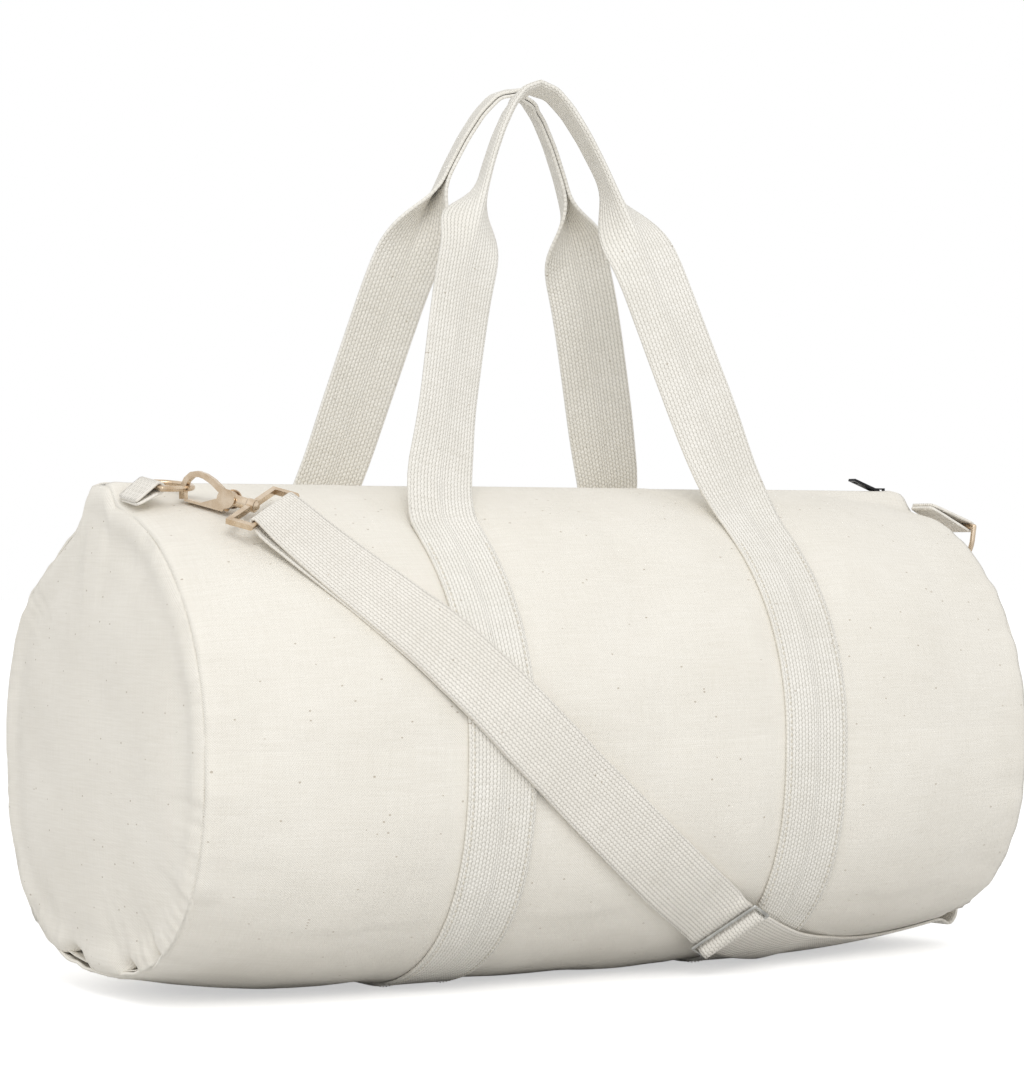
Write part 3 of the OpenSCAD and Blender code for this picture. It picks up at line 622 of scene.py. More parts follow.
@dataclass
class BodyForm:
    """The bag's surface, as the part's source gives it."""

    # The barrel: length, radius of its upper half, depth of its lower half, and its axis's height
    body_l: float = 516.0
    body_r: float = 134.0
    lower_d: float = 130.0
    axis_z: float = 132.3
    # The canvas's wall, and how far an end panel stands out in its middle
    canvas_t: float = 1.5
    end_dome: float = 8.0
    # How far the ends fall at the top and rise at the bottom, outside the straight middle
    shoulder_drop: float = 10.0
    belly_rise: float = 12.0
    straight_half: float = 122.0
    # The flattened underside
    belly_z: float = 2.3
    flat_share: float = 1.019
    lower_power: float = 2.5
    # The ridge that keeps the zip straight
    ridge_w: float = 16.0
    ridge_power: float = 6.0
    # The soft left end's sunken place behind the zip: depth, angle, spread, where it begins round
    # the bag and over how much, and how far from the middle it starts
    slump_depth: float = 13.0
    slump_angle: float = 118.0
    slump_spread: float = 27.0
    slump_begin: float = 94.0
    slump_fade: float = 12.0
    slump_from: float = 150.0
    # Degrees from row to row of the table of lengths round the middle section, and its last row
    table_step: int = 2
    table_end: int = 150
    # Rows of length and angle, and the same the other way round
    turns: list[tuple[float, float]] = field(default_factory=list)
    lengths: list[tuple[float, float]] = field(default_factory=list)

    def __post_init__(self) -> None:
        """Measures the middle section's length against the angle."""
        length, rows = 0.0, [(0.0, 0.0)]
        for angle in range(0, -self.table_end, -self.table_step):
            after = angle - self.table_step
            length += (self.side(0, angle, 0) - self.side(0, after, 0)).length
            rows.append((-length, float(after)))
        self.turns = rows[::-1] + [(self.body_r * math.pi / 2, 90.0)]
        self.lengths = [(angle, length) for length, angle in self.turns]

    @property
    def half(self) -> float:
        """Half the body's length."""
        return self.body_l / 2

    def fall(self, x: float) -> float:
        """0 along the straight middle and 1 at an end seam."""
        return (max(0.0, abs(x) - self.straight_half) / (self.half - self.straight_half)) ** 2

    def top_radius(self, x: float) -> float:
        """Radius of the upper half at x."""
        return self.body_r - self.shoulder_drop * self.fall(x)

    def slump(self, x: float, angle: float) -> float:
        """How far the soft left end sinks in behind its zip.

        Args:
            x: the place along the bag.
            angle: the angle round it.

        Returns:
            The depth, negative inwards.
        """
        a = angle % 360
        round_it = bell(a - self.slump_angle, self.slump_spread)
        behind = ease((a - self.slump_begin) / self.slump_fade)
        at_end = ease((-x - self.slump_from) / (self.half - self.slump_from))
        return -self.slump_depth * round_it * behind * at_end

    def side(self, x: float, angle: float, off: float) -> Vector:
        """Finds a point on the bag.

        Args:
            x: the place along the bag.
            angle: the angle round it.
            off: how far the point lies outside the bag's surface.

        Returns:
            The point.
        """
        c, s = spoke(1, angle)
        upper = self.top_radius(x) + off
        power = 2 / self.lower_power
        if s >= 0:
            y = -upper * c
            ridge = math.exp(-((abs(y) / self.ridge_w) ** self.ridge_power))
            raised = self.shoulder_drop * self.fall(x) * ridge
            return Vector((x, y, self.axis_z + upper * s + raised))
        lower = self.lower_d * self.flat_share - self.belly_rise * self.fall(x) + off
        y = -upper * math.copysign(abs(c) ** power, c)
        return Vector((x, y, max(self.belly_z - off, self.axis_z - lower * abs(s) ** power)))

    def out(self, x: float, angle: float) -> Vector:
        """Finds the outward direction at a point of the surface.

        Args:
            x: the place along the bag.
            angle: the angle round it.

        Returns:
            The unit direction.
        """
        e = 0.5
        along = self.side(x + e, angle, 0) - self.side(x - e, angle, 0)
        round_it = self.side(x, angle - e, 0) - self.side(x, angle + e, 0)
        return round_it.cross(along).normalized()

    def wrap(self, x: float, s: float, off: float) -> Vector:
        """Point on the bag at x and a length s round from the widest line at the front."""
        return self.side(x, read_table(self.turns, s), off)


@dataclass(frozen=True)
class Bands:
    """Where the handles' webbing runs up the bag, and its size."""

    # Half the distance between the two bands' middles, and how far both lie to the right
    half_apart: float = 99.0
    shift: float = 3.0
    width: float = 40.0
    thickness: float = 2.0

    @property
    def legs(self) -> tuple[float, float]:
        """Middles of the left and right band."""
        return self.shift - self.half_apart, self.shift + self.half_apart

    def beside(self, x: float) -> float:
        """Distance of x from the edge of the nearer band, negative on it."""
        return abs(abs(x - self.shift) - self.half_apart) - self.width / 2


@dataclass
class Strap:
    """The long strap, in one length between its two sewn ends.

    It is sewn round the slider's bar, runs up under itself to the left loop, comes back on top
    through the slider, and runs along the lower front edge to the right loop.
    """

    form: BodyForm
    bands: Bands
    width: float = 38.0
    thickness: float = 1.6
    gap: float = 0.3
    # Diameter of a loop's bar and the room round it
    loop_bar: float = 3.0
    bar_gap: float = 0.6
    # Radius of the slider's bar, half the slider's length, and from where beside the bar the strap
    # is flat
    bar_r: float = 1.1
    weave_half: float = 14.0
    flat_from: float = 8.0
    # Over how much the strap comes down off a band, and how far it runs up to the left loop's bar
    ramp: float = 12.0
    lead: float = 75.0
    # At the right end: length of the sewn end, the seam's share of the way up to the loop's bar,
    # and how far the strap stands off below it
    sewn_l: float = 60.0
    sewn_share: float = 0.64
    bulge: float = 0.8
    right_bar: Vector = field(default_factory=lambda: Vector((279.626, -31.5, 175.206)))
    # Three-point curves on the unrolled side: left loop to slider, and slider to right seam
    near: tuple[Vector, ...] = (Vector((-197.158, 132.823)), Vector((-106, 12)), Vector((66, -111)))
    free: tuple[Vector, ...] = (Vector((66, -111)), Vector((175.44, -183.898)),
                                Vector((257.7, -183.898)))
    # Segments along the two curves and across the strap
    steps: int = 40
    free_steps: int = 24
    columns: int = 8

    @property
    def high(self) -> float:
        """Height of the upper layer's underside. The lower layer's is the gap."""
        return 2 * self.gap + self.thickness

    @property
    def bight(self) -> float:
        """Radius of the strap's middle round a loop's bar."""
        return self.loop_bar / 2 + self.bar_gap + self.thickness / 2

    @property
    def rise(self) -> float:
        """Height of a handle band's top."""
        return self.bands.thickness + self.gap

    @property
    def shares(self) -> list[float]:
        """Stations on the near curve, from beside the loop's bar to the slider.

        Returns:
            The share along the curve at each.
        """
        begin = (self.thickness + self.gap) / (self.near[1] - self.near[0]).length
        end = 1 - (self.weave_half + self.gap) / (2 * (self.near[2] - self.near[1]).length)
        return [mix(begin, end, i / self.steps) for i in range(self.steps + 1)]

    def across(self) -> list[float]:
        """Places across the strap from its middle."""
        return [self.width * (j / self.columns - 0.5) for j in range(self.columns + 1)]

    def bezier(self, p: tuple[Vector, ...], t: float) -> tuple[Vector, Vector]:
        """Point and unit direction on a three-point curve."""
        a, b = mix(p[0], p[1], t), mix(p[1], p[2], t)
        return mix(a, b, t), (b - a).normalized()

    def route(self) -> Row:
        """Middle line of the strap on the unrolled side, from the left loop to the right seam."""
        near = [self.bezier(self.near, i / 40)[0] for i in range(41)]
        return near + [self.bezier(self.free, i / 30)[0] for i in range(31)]

    def lift(self, p: Vector) -> float:
        """Finds how far the strap is lifted over a handle band or up to the slider.

        Args:
            p: a point of the unrolled side.

        Returns:
            The height, from 0 to the top of a band.
        """
        off_band = ease((self.bands.beside(p.x) - self.thickness) / self.ramp)
        off_slider = ease(((p - self.near[2]).length - self.weave_half) / self.ramp)
        return self.rise * (1 - min(off_band, off_slider))

    def ring(self, path: tuple[Vector, ...], t: float, off: float) -> Row:
        """Lays one station of the strap on the bag.

        Args:
            path: the curve on the unrolled side.
            t: the share along it.
            off: the height of the strap's underside where nothing lifts it.

        Returns:
            Middle points across the strap. Each is lifted halfway to the highest of its row.
        """
        c, d = self.bezier(path, t)
        spots = [c + Vector((-d.y, d.x)) * y for y in self.across()]
        top = max(self.lift(p) for p in spots)
        off += self.thickness / 2
        return [self.form.wrap(p.x, p.y, off + mix(self.lift(p), top, 0.5)) for p in spots]

    def flat_rows(self, flat: Flat, profile: list[tuple[float, float]]) -> list[Row]:
        """Lays stations of the strap in a flat frame.

        Args:
            flat: the frame.
            profile: the strap's middle line in it, along and up.

        Returns:
            Middle points across the strap at each station.
        """
        return [[flat.at(x, y, z) for y in self.across()] for x, z in profile]

    def near_row(self, t: float, way: int) -> Row:
        """Lays one station of a layer between the left loop and the slider.

        Args:
            t: the share along the near curve.
            way: -1 for the lower layer, which passes under the loop's bar, 1 for the upper one.

        Returns:
            Middle points across the strap.
        """
        rest = self.gap if way < 0 else self.high
        bar = AT_LEFT_LOOP.origin
        bar_off = math.hypot(bar.y, bar.z - self.form.axis_z) - self.form.top_radius(bar.x)
        at_bar = bar_off + way * self.bight - self.thickness / 2
        reach = (self.near[1] - self.near[0]).length + (self.near[2] - self.near[1]).length
        led = max(0.0, 1 - t * reach / self.lead) ** 2
        return self.ring(self.near, t, mix(rest, at_bar, led))

    def slider_rows(self) -> tuple[list[Row], list[Row]]:
        """Lays the strap round the slider's bar.

        Returns:
            The stations of the sewn end, outwards from its tip, and those of the layer woven
            over it.
        """
        half_t = self.thickness / 2
        low = self.rise + self.gap + half_t
        high = self.rise + self.high + half_t
        bar_z = self.rise + self.high + self.thickness + self.gap + self.bar_r
        sewn_r = self.bar_r + self.gap + half_t
        over_r = sewn_r + self.thickness + 2 * self.gap
        flat_end = self.weave_half - self.gap

        def arc(radius: float, begin: float, end: float, count: int) -> list[tuple[float, float]]:
            """Points of an arc round the slider's bar."""
            points = [spoke(radius, mix(begin, end, i / count)) for i in range(count + 1)]
            return [(x, bar_z + z) for x, z in points]

        sewn = [(-flat_end, low), (-sewn_r - half_t, low)] + arc(sewn_r, 165, -60, 14)
        woven = [(-flat_end, high), (-self.flat_from, high)] + arc(over_r, 200, -20, 16)
        woven += [(self.flat_from, high), (flat_end, high)]
        return self.flat_rows(AT_SLIDER, sewn[::-1]), self.flat_rows(AT_SLIDER, woven)

    def free_rows(self) -> list[Row]:
        """Lays the run from the slider to the right seam, which comes down to the canvas.

        Returns:
            Middle points across the strap at each station.
        """
        past_slider = self.weave_half + self.thickness + 2 * self.gap
        begin = past_slider / (2 * (self.free[1] - self.free[0]).length)
        rows = []
        for i in range(self.free_steps + 1):
            t = mix(begin, 1, i / self.free_steps)
            rows.append(self.ring(self.free, t, mix(self.high, self.gap, ease(3 * t))))
        return rows

    def end_rows(self) -> list[Row]:
        """Lays the run up the right end, folded over the right loop's bar and sewn down.

        Returns:
            Middle points across the strap at each station.
        """
        form, bar = self.form, self.right_bar
        clear = self.gap + self.thickness / 2
        x = form.half + form.end_dome + form.canvas_t / 2 + clear
        low = form.axis_z - (form.lower_d * form.flat_share - form.belly_rise) - clear
        bend = x - form.half
        top = mix(low, bar.z, self.sewn_share)
        back = x + self.thickness + self.gap
        path = []
        for angle in (-70, -45, -22, 0):
            dx, dz = spoke(bend, angle)
            path.append((form.half + dx, low + bend + dz))
        for i in range(1, 7):
            path.append((x + self.bulge * math.sin(math.pi * i / 6), mix(low + bend, top, i / 6)))
        for i in range(1, 5):
            path.append((mix(x, bar.x - self.bight, i / 5), mix(top, bar.z, i / 5)))
        for angle in range(180, -1, -20):
            dx, dz = spoke(self.bight, angle)
            path.append((bar.x + dx, bar.z + dz))
        for i in range(1, 6):
            path.append((mix(bar.x + self.bight, back, i / 5), mix(bar.z, top, i / 5)))
        path += [(back, top - self.sewn_l / 6), (back, top - self.sewn_l / 3)]
        return [[Vector((px, bar.y - y, pz)) for y in self.across()] for px, pz in path]

    def rows(self) -> list[Row]:
        """Lays the whole strap, from its end sewn at the slider to its end sewn at the right.

        Returns:
            Middle points across the strap at each station.
        """
        shares = self.shares
        sewn, woven = self.slider_rows()
        rows = sewn + [self.near_row(t, -1) for t in shares[::-1]]
        turn = [spoke(self.bight, angle) for angle in range(-90, 91, 15)]
        rows += self.flat_rows(AT_LEFT_LOOP, [(-x, z) for x, z in turn])
        rows += [self.near_row(t, 1) for t in shares[1:]]
        return rows + woven + self.free_rows() + self.end_rows()

    def build(self, mats: Mats) -> None:
        """Makes the strap.

        Args:
            mats: the materials by finish.
        """
        rows = self.rows()
        middle = [sum(row, Vector()) / len(row) for row in rows]
        piece = finish_mesh("long_strap", ribbon(rows, middle, self.width), mats["strap"])
        thicken(piece, self.thickness * 0.94, 1)
        ride(piece, "bag", "strap_webbing", "strap_upper_layer", "strap_lower_layer",
             "strap_weave", "strap_free_run", "strap_end_run")


@dataclass
class Shell:
    """The canvas: a tube that sags between its bands, and two end panels sewn in with a roll."""

    form: BodyForm
    bands: Bands
    strap: Strap
    zip_gap: float = 12.0
    allowance: float = 10.0
    # How far the tube stops short of the end panels, the room under it and the room between the
    # layers of an end seam
    seam_in: float = 0.2
    floor_gap: float = 0.6
    seam_gap: float = 0.6
    # Segments along and round the tube, and its length round
    columns: int = 190
    rows: int = 220
    tube_round: float = 835.0
    # Segments of an end panel from its middle outwards and round it
    end_columns: int = 46
    end_rows: int = 420
    # The tube's unevenness: its sag, its small crumples and the creases that run to an end seam
    sags: tuple[Ripple, ...] = (Ripple(2.0, 85, 3.1), Ripple(1.0, 38, 7.7))
    crumple: Ripple = Ripple(0.35, 13, 1.3, (0.6, 1, 1))
    crease: Ripple = Ripple(1.6, 17, 5.9, (0.25, 1.4, 1.4))
    crease_reach: float = 22.0
    # How the tube comes free of what holds it: from how far beside it, and over how much
    held_beside: float = 1.0
    band_ramp: float = 16.0
    strap_ramp: float = 18.0
    zip_ramp: float = 25.0
    # The deepest that it falls in where it is free, how far it may stand up where it isn't, and
    # the freedom between the two
    deepest: float = 3.0
    held_up: float = 0.05
    held_until: float = 0.2
    # At an end seam the tube turns in, over this much, and stands up in a low roll beside it. Its
    # tucks begin over the third length.
    turn_in: float = 0.9
    turn_fade: float = 1.8
    tube_tuck_ramp: float = 4.0
    tube_roll: Swell = Swell(0.4, 6, 4)
    # The hem along the zip is two layers thick, and its stitch line sinks in. How far it takes to
    # come down at its edge and at an end seam.
    hem_up: float = 0.35
    hem_w: float = 8.0
    hem_edge: float = 2.0
    hem_ramp: float = 6.0
    hem_stitch: Swell = Swell(-0.25, 8.5, 1.5)
    # How far the tube puffs out between bands, the lower half less, and over what length
    puff: float = 1.4
    puff_length: float = 90.0
    puff_low: float = 0.4
    puff_above: float = 40.0
    # An end panel's unevenness: its slack, the small tucks at its rim and its drape near the
    # floor, and how far from the seam each begins or ends
    slacks: tuple[Ripple, ...] = (Ripple(1.8, 60, 4.4), Ripple(0.9, 27, 8.8))
    slack_ramp: float = 25.0
    rim_tuck: Ripple = Ripple(1.0, 9, 2.2)
    rim_tuck_reach: float = 11.0
    drape: Ripple = Ripple(2.4, 26, 6.1, (0, 2, 0.6))
    drape_ramp: float = 8.0
    drape_below: float = 60.0
    folds_ramp: float = 5.0
    # Share of the rim's tucks that shows everywhere, and what the floor adds
    rim_tuck_high: float = 0.5
    rim_tuck_low: float = 0.8
    # Where in the noise each end's slack is read, so that the two ends differ
    slack_at: float = 40.0
    # The roll of an end panel's seam and the shallow valley inside it
    end_rolls: tuple[Swell, ...] = (Swell(1.5, 8, 6), Swell(-0.7, 21, 8))
    # How far the panel's rim lies inside the seam's edge, and how far short of it
    end_in: float = 0.9
    end_behind: float = 0.4
    # Share of an end panel that is flat, the rest being the turned allowance, of which this share
    # is built
    flat_share: float = 0.94
    turned_share: float = 0.7
    # How its rings close up towards the rim, and how late its dome falls
    ring_power: float = 0.8
    dome_power: float = 2.5
    # Under the zip's ends the allowance lies flat, within this much of the middle and above this
    zip_end_half: float = 14.0
    zip_end_above: float = 200.0
    # Tucks that an end seam gathers: angle, depth and half width in degrees
    tucks: tuple[tuple[float, float, float], ...] = (
        (31, 1.0, 3), (12, 0.9, 2.5), (-12, 1.6, 2.5), (-24, 1.2, 3), (-38, 2.2, 4),
        (-50, 1.6, 3), (-63, 3.2, 4), (-76, 2.0, 4), (58, 1.1, 3), (-104, 1.8, 4),
        (-128, 2.2, 4), (-149, 1.3, 3), (-171, 1.0, 3), (-195, 0.9, 3), (-222, 1.1, 3))
    # Tucks wander by this many degrees from the seam on, at this many millimetres to a radian, and
    # are twice as wide this far from it. Their share and reach on the tube and on an end panel.
    tuck_wander: float = 2.0
    tuck_bend: float = 9.0
    tuck_widen: float = 22.0
    tube_tuck: float = 0.7
    tube_tuck_reach: float = 20.0
    end_tuck: float = 1.3
    end_tuck_reach: float = 26.0
    # Pockets where the slack left end folds over its seam at the floor, likewise
    pockets: tuple[tuple[float, float, float], ...] = (
        (-60, 5.5, 2.0), (-77, 7.0, 3.0), (-101, 8.0, 5.0))
    pocket_reach: float = 9.0
    # How far a pocket also draws the end panel's rim inwards, as a share of its depth
    pocket_in: float = 0.8

    def pocket(self, way: int, angle: float, reach: float) -> float:
        """Finds how deep the left end's pockets go in.

        Args:
            way: -1 at the left end, 1 at the right one, which has none.
            angle: the angle round the bag.
            reach: the distance from the seam.

        Returns:
            The depth.
        """
        if way > 0:
            return 0.0
        depths = sum(depth * bell(angle - at, width) for at, depth, width in self.pockets)
        return depths * bell(reach, self.pocket_reach)

    def gather(self, angle: float, reach: float, length: float) -> float:
        """Finds how deep a seam's tucks pull the canvas in.

        Args:
            angle: the angle round the bag.
            reach: the distance from the seam.
            length: over which the tucks fade.

        Returns:
            The depth. The tucks wander and widen away from the seam.
        """
        at_angle = angle + self.tuck_wander * math.sin(reach / self.tuck_bend + angle)
        wider = 1 + reach / self.tuck_widen
        pulls = sum(depth * bell(at_angle - at, width * wider) for at, depth, width in self.tucks)
        return pulls * math.exp(-reach / length)

    def freedom(self, x: float, angle: float, route: Row) -> float:
        """Finds how free the tube is of what is sewn to it or lies on it.

        Args:
            x: the place along the bag.
            angle: the angle round it.
            route: the strap's middle line on the unrolled side.

        Returns:
            0 under a band or the strap, 1 away from them.
        """
        free = ease((self.bands.beside(x) - self.held_beside) / self.band_ramp)
        if -self.form.table_end < angle < 90:
            here = Vector((x, read_table(self.form.lengths, angle)))
            near = min((here - p).length for p in route)
            beside = near - self.strap.width / 2
            free *= ease((beside - self.held_beside) / self.strap_ramp)
        return free

    def sag(self, x: float, angle: float) -> float:
        """Finds the tube's folds where nothing holds it.

        Args:
            x: the place along the bag.
            angle: the angle round it.

        Returns:
            The height over the bag's plain surface.
        """
        base = self.form.side(x, angle, 0)
        edge = self.form.half - abs(x)
        broad = sum(ripple.at(base) for ripple in self.sags)
        crease = self.crease.at(base) * math.exp(-edge / self.crease_reach)
        gathered = self.gather(angle, edge, self.tube_tuck_reach)
        crease -= self.tube_tuck * gathered * ease(edge / self.tube_tuck_ramp)
        swell = min(1.0, max(0.0, self.bands.beside(x) / self.puff_length))
        fullness = self.puff_low + (1 - self.puff_low) * (base.z > self.puff_above)
        puff = self.puff * math.sin(math.pi * swell) * fullness
        return broad + self.crumple.at(base) + crease + puff

    def tube_spot(self, u: float, w: float, route: Row) -> Vector:
        """Finds a point of the tube's middle surface.

        Args:
            u: the share along the bag, from the left seam to the right one.
            w: the share round it, from the zip's front edge under the bag to its rear edge.
            route: the strap's middle line on the unrolled side.

        Returns:
            The point.
        """
        form = self.form
        reach = form.half - self.seam_in
        x = mix(-reach, reach, u)
        mouth = math.degrees(math.acos(self.zip_gap / 2 / form.top_radius(x)))
        angle = mix(mouth, -180 - mouth, w)
        edge = form.half - abs(x)
        hem = min(w, 1 - w) * 2 * math.pi * form.body_r
        free = self.freedom(x, angle, route)
        rim = -self.turn_in * math.exp(-edge / self.turn_fade) + self.tube_roll.over(edge)
        folded = self.hem_up * ease((self.hem_w - hem) / self.hem_edge) + self.hem_stitch.over(hem)
        d = self.sag(x, angle) * free * ease(hem / self.zip_ramp) + rim
        d += folded * ease(edge / self.hem_ramp)
        d = max(d, -self.deepest) if free > self.held_until else min(d, self.held_up)
        spot = form.side(x, angle, d + form.slump(x, angle) - form.canvas_t / 2)
        spot.z = max(spot.z, form.canvas_t / 2 + self.floor_gap)
        return spot

    def build_tube(self, mats: Mats) -> None:
        """Makes the canvas tube.

        Args:
            mats: the materials by finish.
        """
        route = self.strap.route()
        bm = bent_grid(self.columns, self.rows, lambda u, w: self.tube_spot(u, w, route),
                       (self.form.body_l, self.tube_round))
        piece = finish_mesh("canvas_tube", bm, mats["canvas"])
        thicken(piece, self.form.canvas_t)
        ride(piece, "bag", "canvas", "main_panel")

    def end_folds(self, way: int, angle: float, edge: float, spot: Vector) -> float:
        """Finds an end panel's folds.

        Args:
            way: -1 at the left end, 1 at the right one.
            angle: the angle round the bag.
            edge: the distance from the seam.
            spot: the point on the plain panel.

        Returns:
            The height over the panel's dome.
        """
        low = ease((self.drape_below - spot.z) / self.drape_below)
        roll = sum(swell.over(edge) for swell in self.end_rolls)
        around = Vector((*spoke(100, angle), 0))
        shown = self.rim_tuck_high + self.rim_tuck_low * low
        tuck = shown * self.rim_tuck.at(around, way) * math.exp(-edge / self.rim_tuck_reach)
        tuck -= self.end_tuck * self.gather(angle, edge, self.end_tuck_reach)
        apart = Vector((way * self.slack_at, spot.y, spot.z))
        slack = sum(ripple.at(apart) for ripple in self.slacks) * ease(edge / self.slack_ramp)
        drape = low * self.drape.at(spot, way) * ease(edge / self.drape_ramp)
        return (roll + tuck + slack + drape) * ease(edge / self.folds_ramp)

    def end_spot(self, way: int, u: float, w: float) -> Vector:
        """Finds a point of an end panel's middle surface.

        Args:
            way: -1 at the left end, 1 at the right one.
            u: the share outwards from the panel's middle to the edge of its turned allowance.
            w: the share round it.

        Returns:
            The point.
        """
        form = self.form
        angle = 90 - 360 * w
        k = (u / self.flat_share) ** self.ring_power if u < self.flat_share else 1.0
        flange = max(0.0, (u - self.flat_share) / (1 - self.flat_share))
        rim = form.side(form.half, angle, form.slump(way * form.half, angle))
        reach = Vector((0, rim.y, rim.z - form.axis_z))
        edge = (1 - k) * reach.length
        spot = Vector((0, rim.y * k, form.axis_z + reach.z * k))
        dome = form.end_dome * (1 - k**self.dome_power)
        x = form.half - self.end_behind + dome + self.end_folds(way, angle, edge, spot)
        inset = self.end_in * (ease(edge / 4) - 1) - form.canvas_t / 2 * bell(edge, 3)
        if flange:
            under_zip = abs(rim.y) < self.zip_end_half and rim.z > self.zip_end_above
            turned = 0.0 if under_zip else flange
            x = form.half - mix(form.canvas_t, self.allowance * self.turned_share, turned)
            inset = -1.5 * form.canvas_t - self.seam_gap
        sunk = self.pocket(way, angle, edge)
        spot += reach.normalized() * (inset - self.pocket_in * sunk)
        spot.x = way * (x - sunk)
        return spot

    def build_end(self, way: int, name: str, node: str, mats: Mats) -> None:
        """Makes one end panel.

        Args:
            way: -1 at the left end, 1 at the right one.
            name: the piece's name.
            node: the CAD node that it stands for.
            mats: the materials by finish.
        """
        bm = bent_grid(self.end_columns, self.end_rows, lambda u, w: self.end_spot(way, u, w),
                       (1.0, 1.0), 0.02)
        layer = bm.loops.layers.uv.active
        for face in bm.faces:
            for loop in face.loops:
                loop[layer].uv = (loop.vert.co.y * MM, loop.vert.co.z * MM)
        bmesh.ops.recalc_face_normals(bm, faces=bm.faces)
        piece = finish_mesh(name, bm, mats["canvas"])
        thicken(piece, self.form.canvas_t * 0.9)
        ride(piece, "bag", "canvas", node)

    def build_binding(self, way: int, name: str, node: str, mats: Mats) -> None:
        """Makes the binding tape inside an end seam.

        Args:
            way: -1 at the left end, 1 at the right one.
            name: the piece's name.
            node: the CAD node that it stands for.
            mats: the materials by finish.
        """
        form = self.form
        under = 2 * form.canvas_t + self.seam_gap + 0.4
        uneven = Ripple(0.5, 3, 2)

        def spot(u: float, w: float) -> Vector:
            """Finds a point of the binding.

            Args:
                u: the share from its inner to its outer edge.
                w: the share round the bag.

            Returns:
                The point.
            """
            x = way * mix(form.half - self.allowance, form.half - form.canvas_t - 0.3, u)
            angle = mix(80, -260, w)
            sunk = form.slump(x, angle) - under - uneven.at(Vector((w * 90, u, 0)))
            p = form.side(form.half, angle, sunk)
            return Vector((x, p.y, p.z))

        piece = finish_mesh(name, bent_grid(4, 150, spot, (8.0, 800.0)), mats["canvas"])
        thicken(piece, 0.7)
        ride(piece, "bag", "binding", node)

    def build(self, mats: Mats) -> None:
        """Makes the tube, the end panels and their bindings.

        Args:
            mats: the materials by finish.
        """
        self.build_tube(mats)
        ends = ((-1, "left"), (1, "right"))
        for way, side in ends:
            self.build_end(way, f"{side}_end", f"{side}_end_panel", mats)
        for way, side in ends:
            self.build_binding(way, f"{side}_binding", f"{side}_seam_binding", mats)


